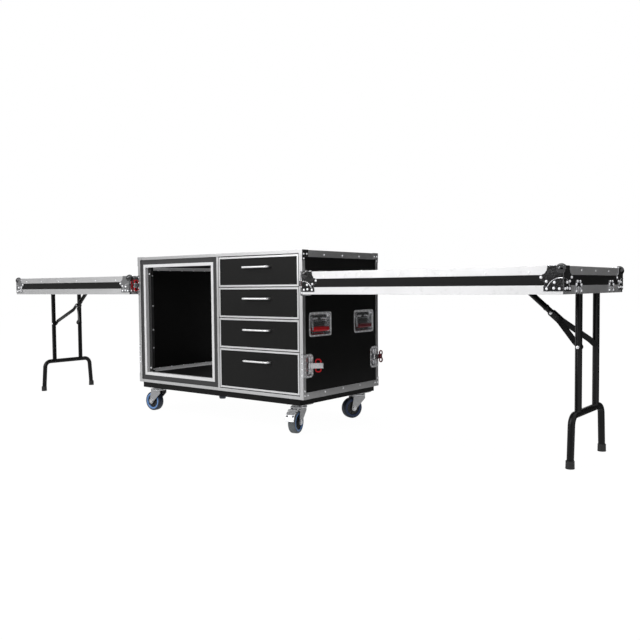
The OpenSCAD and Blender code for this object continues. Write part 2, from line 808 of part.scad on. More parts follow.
// Brake pedal: a stem between the cheeks, and a wide plate that bends down beyond them
module brake_pedal() {
    z = crown_z - crown_t - pedal_drop / 2;
    half = cheek_y - 2;
    color([0.82, 0.83, 0.84]) translate([pedal_x, 0, z]) {
        rod_y(hinge_pin_r - pin_fit, 2 * (cheek_y + cheek_t));
        rod_y(3.5, 2 * half);
        across_y(2 * half)
            polygon([[0, 1.5], [0, -1.5], [pedal_stem + 2, -3.8], [pedal_stem + 2, -0.8]]);
        across_y(2 * pedal_wide) polygon(pedal_side);
    }
}

// Bracket on the case's side with an upturned lip that a table's hook hangs over
module hanger() {
    lip_x = table_gap - hook_t - fit - lip_gap;
    low = hook_z - hook_t - 40;
    slab([-skin, -hanger_w / 2, low], [skin, hanger_w / 2, hook_z - hook_t]);
    slab([-skin, -hanger_w / 2, low], [lip_x, hanger_w / 2, low + hanger_t]);
    slab([lip_x - hanger_t, -hanger_w / 2, low], [lip_x, hanger_w / 2, hook_z - hook_t]);
}

module table_hangers() {
    color([0.55, 0.55, 0.57])
    for (sx = [-1, 1], sy = [-1, 1])
        flip(sx < 0, [1, 0, 0]) translate([side_x, sy * hanger_y, 0]) hanger();
}

// Lid turned top up: a board with four walls below it
module table_tray() {
    x0 = table_x0 + skin;
    x1 = table_x1 - skin;
    y = lid_w / 2 - skin;
    top = table_z - skin;
    low = rim_z + profile_t;
    high = top - board_t - fit;
    color([0.1, 0.1, 0.105]) {
        slab([x0, -y, top - board_t], [x1, y, top]);
        for (s = [-1, 1]) flip(s > 0, [0, 1, 0])
            slab([x0, -y, low], [x1, board_t - y, high]);
        for (x = [x0, x1 - board_t])
            slab([x, board_t + fit - y, low], [x + board_t, y - board_t - fit, high]);
    }
}

// Puts the origin on one of the lid's four top corners, its axes pointing inward
module at_lid_corner(outer, far) {
    translate([outer ? table_x1 : table_x0, far ? lid_w / 2 : -lid_w / 2, table_z])
        flip(outer, [1, 0, 0]) flip(far, [0, 1, 0]) mirror([0, 0, 1]) children();
}

// Riveted leaf of a ball corner, in the plane of a lid's wall
module leaf_plate(low) {
    polygon(concat([[low, low], [leaf_outline[0].x, low]], leaf_outline,
                   [[low, leaf_outline[len(leaf_outline) - 1].y]]));
}

// Ball corner: a ball over a square flange on top and a leaf on each wall
module ball_corner() {
    low = -cap_t - seam;
    face = -seam;
    difference() {
        translate([ball_inset, ball_inset, ball_inset]) sphere(d = ball_d);
        slab([face, face, face], [ball_d, ball_d, ball_d]);
    }
    slab([low, low, low], [ball_flange, ball_flange, face]);
    translate([0, face, 0]) rotate([90, 0, 0]) linear_extrude(cap_t) leaf_plate(low);
    translate([low, 0, 0]) along_x(cap_t) leaf_plate(low);
}

// Keeper dish on an end wall's rim, its face looking along -X
module keeper() {
    translate([-cap_t - seam, 0, rim_z + keeper_h / 2]) along_x(cap_t) difference() {
        rounded(keeper_w, keeper_h, keeper_r);
        translate([-keeper_mouth / 2, -keeper_h / 2 - eps])
            square([keeper_mouth, keeper_h / 2 + eps]);
    }
}

// Channel under a wall of the lid; its inner return starts and ends at the inset
module rim_channel(len, inset) {
    slab([0, 0, 0], [len, profile_t, edge_run]);
    slab([0, 0, 0], [len, inner + profile_t + fit, profile_t]);
    slab([inset, inner + fit, 0], [len - inset, inner + fit + profile_t, edge_run * 0.6]);
}

module top_angle(len) {
    slab([0, 0, -edge_run], [len, profile_t, 0]);
    slab([0, 0, -profile_t], [len, edge_run, 0]);
}

// Hook on the table's inner end, hanging over the case's bracket
module hook() {
    half = hanger_w / 2 - 2;
    tip_x = -hook_t - fit - lip_gap - hanger_t - 1;
    low = hook_z - hook_t - 28;
    slab([-hook_t, -half, low], [-seam, half, hook_z]);
    slab([tip_x - hook_t, -half, hook_z - hook_t], [-seam, half, hook_z]);
    slab([tip_x - hook_t, -half, low + hook_t], [tip_x, half, hook_z]);
}

module pivot_bracket(y, half, base_len, pin_r) {
    top = table_z - inner;
    translate([0, y, 0]) {
        slab([-base_len / 2, -half - leg_cheek_t, top - 2], [base_len / 2, half + leg_cheek_t, top]);
        for (s = [-1, 1]) flip(s < 0, [0, 1, 0])
            slab([-14, half, pivot_z - 10], [13, half + leg_cheek_t, top]);
        translate([0, 0, pivot_z]) rod_y(pin_r, 2 * (half + leg_cheek_t));
    }
}

module table_fittings() {
    leg_half = tube_r + leg_cheek_gap;
    rim = lid_l - 2 * fit;
    side_len = lid_w - 2 * (inner + profile_t + 2 * fit);
    color([0.82, 0.82, 0.83]) {
        for (far = [false, true]) flip(far, [0, 1, 0]) {
            translate([table_x0 + fit, -lid_w / 2, rim_z]) rim_channel(rim, inner);
            translate([table_x0 + fit, -lid_w / 2, table_z]) top_angle(rim);
        }
        for (outer = [false, true])
            translate([outer ? table_x1 : table_x0, 0, 0]) flip(outer, [1, 0, 0]) {
                translate([0, side_len / 2, rim_z]) rotate([0, 0, -90])
                    rim_channel(side_len, 0);
                translate([0, lid_w / 2 - edge_run - fit, table_z]) rotate([0, 0, -90])
                    top_angle(lid_w - 2 * (edge_run + fit));
            }
    }
    color([0.85, 0.85, 0.86]) {
        for (outer = [false, true], far = [false, true]) at_lid_corner(outer, far) ball_corner();
        for (outer = [false, true], s = [-1, 1])
            translate([outer ? table_x1 : table_x0, s * (lid_w / 2 - latch_inset), 0])
                flip(outer, [1, 0, 0]) keeper();
    }
    color([0.55, 0.55, 0.57]) {
        for (s = [-1, 1]) translate([table_x0, s * hanger_y, 0]) hook();
        for (s = [-1, 1]) translate([leg_x, 0, 0])
            pivot_bracket(s * leg_pitch / 2, leg_half, 27, leg_pin_r);
        translate([brace_x, 0, 0]) pivot_bracket(0, link_d / 2 + leg_cheek_gap, 40, brace_pin_r);
    }
}

// Folding leg: two tubes on an inverted U that carries the rubber caps
module table_leg() {
    foot = foot_pitch / 2;
    top = pivot_z;
    color([0.03, 0.03, 0.03]) translate([leg_x, 0, 0]) {
        difference() {
            union() {
                for (s = [-1, 1]) translate([0, s * leg_pitch / 2, 0]) {
                    translate([0, 0, crossbar_z]) cylinder(r = tube_r, h = top - crossbar_z);
                    translate([0, 0, top]) rod_y(tube_r - 0.4, tube_d - 2);
                    translate([0, -s * (tube_r + 0.5), top - brace_drop]) rod_y(5, 2.4);
                }
                translate([0, 0, crossbar_z]) rod_y(foot_r, foot_pitch - 2 * bend_r);
                for (s = [-1, 1]) flip(s < 0, [0, 1, 0]) {
                    translate([0, foot - bend_r, crossbar_z - bend_r]) rotate([90, 0, 90])
                        rotate_extrude(angle = 90) translate([bend_r, 0]) circle(foot_r);
                    translate([0, foot, 3]) cylinder(r = foot_r, h = crossbar_z - bend_r - 3);
                }
            }
            for (s = [-1, 1]) translate([0, s * leg_pitch / 2, top])
                rod_y(leg_pin_r + pin_fit, tube_d + 2 * eps);
        }
        for (s = [-1, 1]) translate([0, s * foot, 0]) difference() {
            cylinder(r = foot_r + foot_cap_wall, h = foot_cap_h);
            translate([0, 0, 3 - fit]) cylinder(r = foot_r + pin_fit, h = foot_cap_h);
        }
    }
}

// Upper bar of the brace, from the table's bracket to the middle joint
module brace_link() {
    color([0.04, 0.04, 0.04])
    translate([brace_x, 0, pivot_z]) rotate([0, brace_angle, 0]) difference() {
        union() {
            for (x = [0, link_len]) translate([x, 0, 0]) rod_y(link_d / 2 + 0.5, link_d - 2);
            rotate([0, 90, 0]) cylinder(r = link_d / 2, h = link_len);
            translate([link_len - 34, 0, 0]) rotate([0, 90, 0]) cylinder(r = ring_d / 2, h = 7);
        }
        for (x = [0, link_len]) translate([x, 0, 0])
            rod_y(brace_pin_r + pin_fit, link_d + 2 * eps);
    }
}

// Lower half of the brace: two flat bars, close together at the joint, then
// spread to pass inside the leg's tubes
module brace_fork() {
    spread = prong_y - fork_gap;
    run = fork_len - fork_stem - 24;
    slant = atan2(spread, run);
    color([0.04, 0.04, 0.04])
    translate([brace_x, 0, pivot_z]) rotate([0, brace_angle, 0]) translate([link_len, 0, 0]) {
        for (s = [-1, 1]) flip(s < 0, [0, 1, 0]) {
            translate([0, fork_gap + prong_t / 2, 0]) rod_y(prong_w / 2, prong_t);
            slab([0, fork_gap, -prong_w / 2], [fork_stem, fork_gap + prong_t, prong_w / 2]);
            translate([fork_stem, fork_gap, 0]) rotate([0, 0, slant])
                slab([-0.4, 0, -prong_w / 2],
                     [norm([run, spread]) + 0.4, prong_t, prong_w / 2]);
            translate([fork_stem + run, fork_gap + spread, 0])
                slab([-0.4, 0, -prong_w / 2], [24, prong_t, prong_w / 2]);
            translate([fork_len, prong_y + prong_t / 2, 0]) rod_y(prong_w / 2, prong_t);
        }
        rod_y(brace_pin_r, 2 * (fork_gap + prong_t));
    }
}

outer_boards();
inner_boards();
rack_sleeve();
rack_foam();
rack_rails();
edge_profiles();
corner_caps();
recess_dishes();
drawer_runners();
caster_board();
caster_plates();
table_hangers();
for (i = [1:drawer_count]) {
    drawer_box(i);
    drawer_trim(i);
}
for (c = [0:3]) {
    name = corner_names[c];
    at_caster(c, true) caster_fork();
    at_caster(c, true) caster_wheel();
    at_handle(c) handle_grip();
    for (l = [0:1]) {
        at_latch(c, l) latch_pose(rest_angle(c, l)) latch_arm();
        at_latch(c, l) latch_pose(rest_angle(c, l)) latch_knob();
    }
}
for (c = caster_brakes)
    at_caster(c, true) brake_pedal();
for (s = [0:1]) {
    left = s == 0;
    flip(left, [1, 0, 0]) table_tray();
    flip(left, [1, 0, 0]) table_fittings();
    flip(left, [1, 0, 0]) table_leg();
    flip(left, [1, 0, 0]) brace_link();
    flip(left, [1, 0, 0]) brace_fork();
}
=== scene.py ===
# %% [markdown]
# # A flight case that opens into a workstation
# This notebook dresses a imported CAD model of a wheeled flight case, whose two lids hang on its ends as
# tables. The model is in metres, but makers of cases think in millimetres, so shapes are drawn in
# millimetres and scaled once.

# %% Load the CAD model
import json
from math import copysign, cos, pi, radians, sin

import bmesh
import bpy
from mathutils import Matrix, Vector

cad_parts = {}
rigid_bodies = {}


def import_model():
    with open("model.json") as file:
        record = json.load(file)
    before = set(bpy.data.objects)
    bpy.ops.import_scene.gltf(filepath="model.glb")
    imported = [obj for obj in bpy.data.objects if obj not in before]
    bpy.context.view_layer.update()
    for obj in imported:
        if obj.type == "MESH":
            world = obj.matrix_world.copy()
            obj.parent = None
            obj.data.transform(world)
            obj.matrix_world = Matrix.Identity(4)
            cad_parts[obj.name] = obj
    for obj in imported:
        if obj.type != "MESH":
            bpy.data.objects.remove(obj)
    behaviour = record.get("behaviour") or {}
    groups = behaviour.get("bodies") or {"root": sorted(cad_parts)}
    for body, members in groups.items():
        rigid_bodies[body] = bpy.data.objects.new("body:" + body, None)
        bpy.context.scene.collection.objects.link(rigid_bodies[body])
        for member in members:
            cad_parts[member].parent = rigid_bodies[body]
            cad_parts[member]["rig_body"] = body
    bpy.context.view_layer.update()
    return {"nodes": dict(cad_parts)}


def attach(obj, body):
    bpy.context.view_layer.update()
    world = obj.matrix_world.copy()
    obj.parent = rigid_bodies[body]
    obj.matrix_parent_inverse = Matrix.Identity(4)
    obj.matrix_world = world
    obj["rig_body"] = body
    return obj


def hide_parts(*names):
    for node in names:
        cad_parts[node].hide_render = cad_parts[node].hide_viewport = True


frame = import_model()
MM = 0.001

# %% [markdown]
# ## Shader maths as expressions
# A material is a graph, and graphs are long to write node by node. `Signal` wraps one output socket and
# overloads the arithmetic operators, so that `0.3 + 0.1 * noise` adds its own Math nodes. Every other node
# comes from `Graph.node`. The rivets' tree and the world are plain graphs. A `Finish` is a graph with a
# material.


# %% Signals
def operator(operation, swapped=False):
    """A method that adds a Math node; a swapped one takes its own signal as the second value."""

    def method(self, other):
        return self.math(operation, *((other, self) if swapped else (self, other)))

    return method


class Signal:
    """One output socket that can be used in a Python expression."""

    def __init__(self, graph, socket):
        self.graph = graph
        self.socket = socket

    def math(self, operation, *values):
        return self.graph.node("ShaderNodeMath", dict(enumerate(values)), operation=operation)

    __add__, __radd__ = operator("ADD"), operator("ADD", True)
    __sub__, __rsub__ = operator("SUBTRACT"), operator("SUBTRACT", True)
    __mul__, __rmul__ = operator("MULTIPLY"), operator("MULTIPLY", True)

    def step(self, low, high):
        """0 below low, 1 above high, and a smooth ramp between them."""
        sockets = {"Value": self, "From Min": low, "From Max": high}
        return self.graph.node("ShaderNodeMapRange", sockets, interpolation_type="SMOOTHSTEP")


# %% Graphs and finishes
class Graph:
    """A node tree, with one way to add a node to it."""

    def __init__(self, tree):
        self.tree = tree

    def set(self, socket, value):
        if isinstance(value, Signal):
            self.tree.links.new(value.socket, socket)
        else:
            socket.default_value = value

    def node(self, kind, sockets=None, output=0, **settings):
        """Settings are the node's own, such as operation. They come before the sockets' values."""
        made = self.tree.nodes.new(kind)
        for key, value in settings.items():
            setattr(made, key, value)
        for key, value in (sockets or {}).items():
            self.set(made.inputs[key], value)
        return Signal(self, made.outputs[output])

    def ray(self, kind):
        """1 for rays of the named kind, 0 for all others."""
        return self.node("ShaderNodeLightPath", output=f"Is {kind} Ray")

    def show(self, signal, output):
        """Makes a signal the surface of the named output node."""
        self.set(self.tree.nodes[output].inputs["Surface"], signal)


class Finish(Graph):
    """A material built from nodes around one Principled shader."""

    def __init__(self, name):
        self.material = bpy.data.materials.new(name)
        self.material.use_nodes = True
        super().__init__(self.material.node_tree)
        self.shader = self.tree.nodes["Principled BSDF"]
        self.lit = Signal(self, self.shader.outputs[0])
        self.place = self.node("ShaderNodeTexCoord", output="Object")
        print("finish", name)

    def noise(self, scale, detail=2.0, stretch=(1.0, 1.0, 1.0)):
        spot = self.node("ShaderNodeMapping", {"Vector": self.place, "Scale": stretch})
        return self.node("ShaderNodeTexNoise", {"Vector": spot, "Scale": scale, "Detail": detail})

    def blend(self, amount, first, second):
        """Mixes two colours by a signal."""
        sockets = {0: amount, 6: first, 7: second}
        return self.node("ShaderNodeMix", sockets, 2, data_type="RGBA")

    def bump(self, height, strength, depth):
        sockets = {"Height": height, "Strength": strength, "Distance": depth * MM}
        return self.node("ShaderNodeBump", sockets)

    def surface(self, **values):
        for key, value in values.items():
            self.set(self.shader.inputs[key.replace("_", " ")], value)
        return self.material


def grey(level, blue=1.0):
    """An even grey, or one with a little more or less blue."""
    return (level, level, level * blue, 1.0)


# %% [markdown]
# ## Finishes
# The laminate is a phenolic skin with a fine pebbled grain that breaks up every reflection. The extrusions
# are anodised aluminium with drawing lines along their length. Latches, dishes and corner plates are
# zinc-plated steel, which is shinier and a little bluer. All patterns sit on Object coordinates.


# %% Black laminate of the boards
def make_laminate(name, dark, pale, rough, shine):
    f = Finish(name)
    grain = f.noise(620.0, 3.0)
    clouds = f.noise(7.0, 4.0)
    scuffs = f.noise(34.0, 5.0, (1.0, 1.0, 0.25)).step(0.62, 0.8)
    tint = f.blend(grain.step(0.35, 0.7), grey(dark), grey(pale))
    dusty = f.blend(0.22 * scuffs + 0.1 * clouds, tint, (pale * 2.3, pale * 2.3, pale * 2.2, 1.0))
    return f.surface(
        Base_Color=dusty,
        Roughness=rough + 0.14 * clouds - 0.08 * grain,
        Normal=f.bump(grain, 0.35, 0.25),
        Specular_IOR_Level=shine,
    )


laminate = make_laminate("black_laminate", 0.003, 0.0065, 0.4, 0.11)
drawer_laminate = make_laminate("charcoal_laminate", 0.0032, 0.0068, 0.42, 0.14)
# A paler copy of the black laminate for the lids' trays: painted light.
lid_laminate_painted_light = make_laminate("lid_laminate_painted_light", 0.0055, 0.0105, 0.42, 0.12)
# A darker, rougher copy of the laminate for the rack bay's boards: painted shade.
rack_laminate_painted_shade = make_laminate("rack_laminate_painted_shade", 0.002, 0.004, 0.6, 0.1)


# %% Anodised extrusion
def make_alloy(name, level, rough, along, grooves=0.0, metal=1.0):
    """The small numbers in along are the directions in which the drawing lines run."""
    f = Finish(name)
    lines = f.noise(900.0, 2.0, along)
    bands = f.node("ShaderNodeTexWave", {"Vector": f.place, "Scale": 50.0}, 1, bands_direction="Z")
    haze = f.noise(16.0, 4.0)
    smudge = f.noise(60.0, 4.0).step(0.55, 0.75)
    tint = f.blend(haze, grey(level * 0.9), (level * 1.04, level * 1.04, level * 1.06, 1.0))
    worn = f.blend(0.3 * smudge, tint, grey(level * 0.72))
    return f.surface(
        Base_Color=worn,
        Metallic=metal,
        Roughness=rough + 0.1 * lines + 0.08 * smudge,
        Normal=f.bump(lines + grooves * bands, 0.12, 0.08),
    )


alloy = make_alloy("satin_extrusion", 0.6, 0.34, (0.12, 0.12, 1.0))
rim_alloy = make_alloy("rim_extrusion", 0.7, 0.4, (0.02, 1.0, 1.0), 3.0)
bright_alloy = make_alloy("bright_trim", 0.8, 0.3, (1.0, 1.0, 0.1))
trim_alloy = make_alloy("rack_trim", 0.7, 0.42, (1.0, 1.0, 0.1), 0.0, 0.2)


# %% Zinc-plated and polished steel
def make_plated(name, level, rough, spangle, metal=1.0):
    """spangle is how much the zinc's small crystals differ in roughness."""
    f = Finish(name)
    flakes = f.node("ShaderNodeTexVoronoi", {"Vector": f.place, "Scale": 170.0}, "Distance")
    haze = f.noise(45.0, 3.0)
    tint = f.blend(flakes, grey(level, 1.015), (level * 0.86, level * 0.87, level * 0.9, 1.0))
    dull = f.blend(0.35 * haze.step(0.5, 0.8), tint, grey(level * 0.66))
    return f.surface(
        Base_Color=dull,
        Metallic=metal,
        Roughness=rough + spangle * flakes + 0.06 * haze,
        Normal=f.bump(haze, 0.1, 0.15),
    )


plated = make_plated("plated_steel", 0.66, 0.12, 0.1)
nickel = make_plated("nickel_plate", 0.6, 0.05, 0.06)
fork_zinc = make_plated("fork_zinc", 0.42, 0.3, 0.2)
polished = make_plated("polished_steel", 0.5, 0.38, 0.04)
dish_zinc = make_plated("dish_zinc", 0.7, 0.14, 0.12)
flange_zinc = make_plated("flange_zinc", 0.62, 0.3, 0.1, 0.45)
# Chrome with a very dark colour for the lids' balls: a painted dark reflection.
chrome_painted_dark_reflection = make_plated("chrome_painted_dark_reflection", 0.075, 0.03, 0.02)
rivet_steel = make_plated("rivet_steel", 1.0, 0.42, 0.05)


# %% Painted legs, red plastic, rubber, foam and nylon
def make_coat(name, color, rough, peel, shine=0.5, grain=420.0):
    """peel is how strong the paint's or plastic's fine bumps are."""
    f = Finish(name)
    skin = f.noise(grain, 2.0)
    cloud = f.noise(24.0, 4.0)
    pale = tuple(min(1.0, c * 1.35 + 0.004) for c in color)
    return f.surface(
        Base_Color=f.blend(cloud, (*color, 1.0), (*pale, 1.0)),
        Roughness=rough + 0.1 * cloud,
        Normal=f.bump(skin, peel, 0.12),
        Specular_IOR_Level=shine,
    )


black_coat = make_coat("black_powder_coat", (0.003, 0.003, 0.0033), 0.28, 0.03, 0.2)
red_plastic = make_coat("red_plastic", (0.4, 0.0, 0.005), 0.36, 0.12, 0.3)
# A darker copy of the red plastic for grips and knobs in shade: painted shade.
red_in_painted_shade = make_coat("red_plastic_in_painted_shade", (0.1, 0.002, 0.008), 0.36, 0.12, 0.3)
rubber = make_coat("black_rubber", (0.012, 0.012, 0.012), 0.66, 0.5)
foam = make_coat("shock_foam", (0.032, 0.032, 0.033), 0.9, 1.0, grain=260.0)
rail_black = make_coat("black_rack_rail", (0.012, 0.012, 0.0125), 0.45, 0.15)
tread_grey = make_coat("grey_tread", (0.105, 0.115, 0.122), 0.5, 0.4)
tread_navy = make_coat("navy_tread", (0.008, 0.016, 0.034), 0.42, 0.3)
ring_blue = make_coat("blue_ring", (0.1, 0.21, 0.44), 0.3, 0.15)
# The second ring colour is a darker copy of the blue: painted shade for the rear wheels.
ring_in_painted_shade = make_coat("blue_ring_in_painted_shade", (0.012, 0.03, 0.1), 0.36, 0.15)
hub_nylon = make_coat("black_nylon", (0.012, 0.012, 0.013), 0.4, 0.15)

# %% [markdown]
# ## A small workshop
# `Shape` collects surfaces of one piece. Its main tool is the loft: rings of points joined one after the
# other, which makes boxes, rods, bent wires and pressed dishes alike. A place matrix puts each shape where
# it belongs. With a mirrored matrix the same code makes a mirrored fitting.


# %% Places and outlines
def shift(x, y, z):
    return Matrix.Translation((x, y, z))


def turn(degrees, axis):
    return Matrix.Rotation(radians(degrees), 4, axis)


def span(side, near, far):
    """From near to far on one side (-1 or 1) of the middle, low end first."""
    return sorted((side * near, side * far))


def mirrored(half):
    """A (radius, height) profile and its mirror image over height 0."""
    return half + [(r, -h) for r, h in reversed(half)]


def circle(radius, steps, height=0.0):
    turns = [2 * pi * i / steps for i in range(steps)]
    return [Vector((radius * cos(a), radius * sin(a), height)) for a in turns]


def arc(x, z, radius, start, sweep, steps):
    """Part of a circle, in degrees, in a flat (x, z) drawing."""
    turns = [radians(start + sweep * i / steps) for i in range(steps + 1)]
    return [(x + radius * cos(a), z + radius * sin(a)) for a in turns]


def rounded(width, height, radius, level=0.0, steps=6):
    """Outline of a rectangle with round corners, centred, at a level."""
    ring = []
    for quarter, (sx, sy) in enumerate(((1, 1), (-1, 1), (-1, -1), (1, -1))):
        for i in range(steps + 1):
            a = radians(90 * (quarter + i / steps))
            x = sx * (width / 2 - radius) + radius * cos(a)
            y = sy * (height / 2 - radius) + radius * sin(a)
            ring.append(Vector((x, y, level)))
    return ring


# %% Shapes
class Shape:
    def __init__(self):
        self.bm = bmesh.new()

    def loft(self, rings, place, closed=False):
        """Joins rings of points. A closed loft ends where it began; an open one has end faces."""
        rows = [[self.bm.verts.new(place @ p) for p in ring] for ring in rings]
        count = len(rows[0])
        pairs = list(zip(rows, rows[1:])) + ([(rows[-1], rows[0])] if closed else [])
        for low, high in pairs:
            for i in range(count):
                j = (i + 1) % count
                self.bm.faces.new((low[i], low[j], high[j], high[i]))
        if not closed:
            self.bm.faces.new(reversed(rows[0]))
            self.bm.faces.new(rows[-1])

    def prism(self, outline, low, high, place):
        """A flat (x, y) drawing, from z = low to z = high."""
        self.loft([[Vector((x, y, z)) for x, y in outline] for z in (low, high)], place)

    def box(self, low, high, place=Matrix()):
        outline = ((low[0], low[1]), (high[0], low[1]), (high[0], high[1]), (low[0], high[1]))
        self.prism(outline, low[2], high[2], place)

    def plate(self, outline, low, high, place):
        """A flat (x, z) drawing, from y = low to y = high."""
        self.loft([[Vector((x, y, z)) for x, z in outline] for y in (low, high)], place)

    def rod(self, radius, low, high, place, steps=16):
        self.loft([circle(radius, steps, low), circle(radius, steps, high)], place)

    def lathe(self, profile, place, steps=40, closed=True):
        """Turns a profile of (radius, height) points round the z axis."""
        self.loft([circle(r, steps, h) for r, h in profile], place, closed)

    def wire(self, path, radius, place, steps=8, closed=False, flat=1.0):
        """A round or flattened wire along a path of points."""
        points = [Vector(p) for p in path]
        count = len(points)
        rings = []
        side = None
        for i, point in enumerate(points):
            before = points[i - 1] if i or closed else point
            after = points[(i + 1) % count] if i < count - 1 or closed else point
            ahead = (after - before).normalized()
            if side is None:
                side = ahead.orthogonal().normalized()
            side = (side - ahead * side.dot(ahead)).normalized()
            up = ahead.cross(side)
            rings.append([point + side * p.x + up * p.y * flat for p in circle(radius, steps)])
        self.loft(rings, place, closed)

    def mesh(self, name):
        """Ends the shape: its mesh, in metres."""
        bmesh.ops.scale(self.bm, vec=(MM, MM, MM), verts=self.bm.verts)
        mesh = bpy.data.meshes.new(name)
        self.bm.to_mesh(mesh)
        self.bm.free()
        return mesh


# %% [markdown]
# ## From shape to piece
# Real edges are never sharp, and a small bevel catches the light on a profile or a plate. `piece` turns the
# faces outwards, adds that bevel, shades smooth up to a crease angle, hangs the piece on the body that
# carries it, and hides the CAD nodes it stands for.


# %% Objects
def add_object(name, data):
    made = bpy.data.objects.new(name, data)
    bpy.context.scene.collection.objects.link(made)
    return made


def settle(made):
    """Puts the result of an object's modifiers into its own mesh."""
    depsgraph = bpy.context.evaluated_depsgraph_get()
    made.data = bpy.data.meshes.new_from_object(made.evaluated_get(depsgraph))
    made.modifiers.clear()


# %% Pieces
def piece(name, shape, body, finish, bevel=0.0, replaces=(), crease=32):
    """bevel in millimetres; crease is the angle from which an edge is bevelled, or stays sharp."""
    bmesh.ops.remove_doubles(shape.bm, verts=shape.bm.verts, dist=0.001)
    bmesh.ops.recalc_face_normals(shape.bm, faces=shape.bm.faces)
    mesh = shape.mesh(name)
    mesh.materials.append(finish)
    mesh.shade_smooth()
    made = add_object(name, mesh)
    if bevel:
        edge = made.modifiers.new("edge", "BEVEL")
        edge.width = bevel * MM
        edge.segments = 2
        edge.limit_method = "ANGLE"
        edge.angle_limit = radians(crease)
        edge.use_clamp_overlap = True
        made.modifiers.new("flat", "WEIGHTED_NORMAL").weight = 100
        settle(made)
    else:
        mesh.set_sharp_from_angle(angle=radians(crease + 8))
    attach(made, body)
    if replaces:
        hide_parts(*replaces)
    print(name, len(made.data.polygons), "faces")
    return made


# %% CAD solids as shapes
def solids_of(node, choose=None):
    """A node's mesh as a shape in millimetres, whole or only the chosen solids."""
    shape = Shape()
    bm = shape.bm
    bm.from_mesh(frame["nodes"][node].data)
    bmesh.ops.remove_doubles(bm, verts=bm.verts, dist=2e-6)
    bmesh.ops.scale(bm, vec=(1 / MM, 1 / MM, 1 / MM), verts=bm.verts)
    if choose:
        unseen = set(bm.verts)
        unwanted = []
        while unseen:
            island = [unseen.pop()]
            for vert in island:
                for edge in vert.link_edges:
                    other = edge.other_vert(vert)
                    if other in unseen:
                        unseen.remove(other)
                        island.append(other)
            low = [min(v.co[k] for v in island) for k in range(3)]
            high = [max(v.co[k] for v in island) for k in range(3)]
            if not choose(low, high):
                unwanted += island
        bmesh.ops.delete(bm, geom=unwanted, context="VERTS")
    bmesh.ops.dissolve_limit(bm, angle_limit=radians(0.4), verts=bm.verts, edges=bm.edges)
    return shape


body_of = {node.name: node["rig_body"] for node in frame["nodes"].values()}


def softened(node, finish, bevel, name, choose=None):
    """The node's own solids with bevelled edges, in the node's place."""
    return piece(name, solids_of(node, choose), body_of[node], finish, bevel, (node,))


def refinish(made, finish, chosen):
    """Gives the chosen faces of a piece a second finish."""
    made.data.materials.append(finish)
    for face in made.data.polygons:
        face.material_index = int(chosen(face))
    print(made.name, sum(face.material_index for face in made.data.polygons), "faces refinished")


def paint(node, finish):
    materials = frame["nodes"][node].data.materials
    materials.clear()
    materials.append(finish)


# %% [markdown]
# ## Rivets and screws from Geometry Nodes
# A case like this has hundreds of rivets, all alike, so a list holds only each head's place and direction. A
# Geometry Nodes tree puts a flattened ball on every point, half of it in the metal and half as the dome.


# %% The rivet tree
def rivet_tree(name, sides, rings):
    tree = bpy.data.node_groups.new(name, "GeometryNodeTree")
    ports = tree.interface
    ports.new_socket("Places", in_out="INPUT", socket_type="NodeSocketGeometry")
    for label in ("Head radius", "Head height"):
        ports.new_socket(label, in_out="INPUT", socket_type="NodeSocketFloat")
    ports.new_socket("Heads", in_out="OUTPUT", socket_type="NodeSocketGeometry")

    graph = Graph(tree)
    places, radius, height = (graph.node("NodeGroupInput", output=i) for i in range(3))
    ball = graph.node("GeometryNodeMeshUVSphere", {"Segments": sides, "Rings": rings, "Radius": 1.0})
    size = graph.node("ShaderNodeCombineXYZ", {"X": radius, "Y": radius, "Z": height})
    facing = graph.node("GeometryNodeInputNamedAttribute", {"Name": "facing"}, data_type="FLOAT_VECTOR")
    aim = graph.node("FunctionNodeAlignRotationToVector", {"Vector": facing}, axis="Z")
    points = graph.node("GeometryNodeMeshToPoints", {"Mesh": places})
    sockets = {"Points": points, "Instance": ball, "Rotation": aim, "Scale": size}
    made = graph.node("GeometryNodeInstanceOnPoints", sockets)
    for kind in ("RealizeInstances", "SetShadeSmooth", "SetMaterial"):
        made = graph.node("GeometryNode" + kind, {"Geometry": made})
    made.socket.node.inputs["Material"].default_value = rivet_steel
    graph.set(tree.nodes.new("NodeGroupOutput").inputs[0], made)
    print(name, "has", len(tree.nodes), "nodes")
    return tree


dome_rivets = rivet_tree("dome_rivets", 14, 8)
pin_heads = rivet_tree("pin_heads", 18, 8)


# %% Heads on a list of points
def heads(name, body, places, radius, height, tree=pin_heads):
    """places: (point, direction) pairs in millimetres; heads sit on the surface there."""
    mesh = bpy.data.meshes.new(name + "_places")
    mesh.from_pydata([Vector(p) * MM for p, _ in places], [], [])
    facing = mesh.attributes.new("facing", "FLOAT_VECTOR", "POINT")
    for item, (_, direction) in zip(facing.data, places):
        item.vector = Vector(direction)
    made = add_object(name, mesh)
    nodes = made.modifiers.new("heads", "NODES")
    nodes.node_group = tree
    for label, size in (("Head radius", radius), ("Head height", height)):
        nodes[tree.interface.items_tree[label].identifier] = size * MM
    settle(made)
    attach(made, body)
    print(name, len(places), "heads,", len(made.data.polygons), "faces")


# %% [markdown]
# ## Numbers of the case
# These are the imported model's own dimensions in millimetres. Signs name the sides: -1 is left or front, +1
# is right or rear. `side_place` puts a fitting on a case end: its X runs out of the board, its Y towards the
# middle of the end face, and its Z up.

# %% Dimensions
SIDE_X = 556.5
FACE_Y = 288.0
CASE_LOW, CASE_TOP = 155.0, 802.0
CASE_MID = (CASE_LOW + CASE_TOP) / 2
CORNERS = {"front_left": (-1, -1), "front_right": (1, -1), "rear_left": (-1, 1), "rear_right": (1, 1)}
LEVELS = {"low": 300.0, "high": 657.0}
SIDES = {"left": -1, "right": 1}
print("the case is", 2 * SIDE_X, "by", 2 * FACE_Y, "by", CASE_TOP - CASE_LOW, "mm")


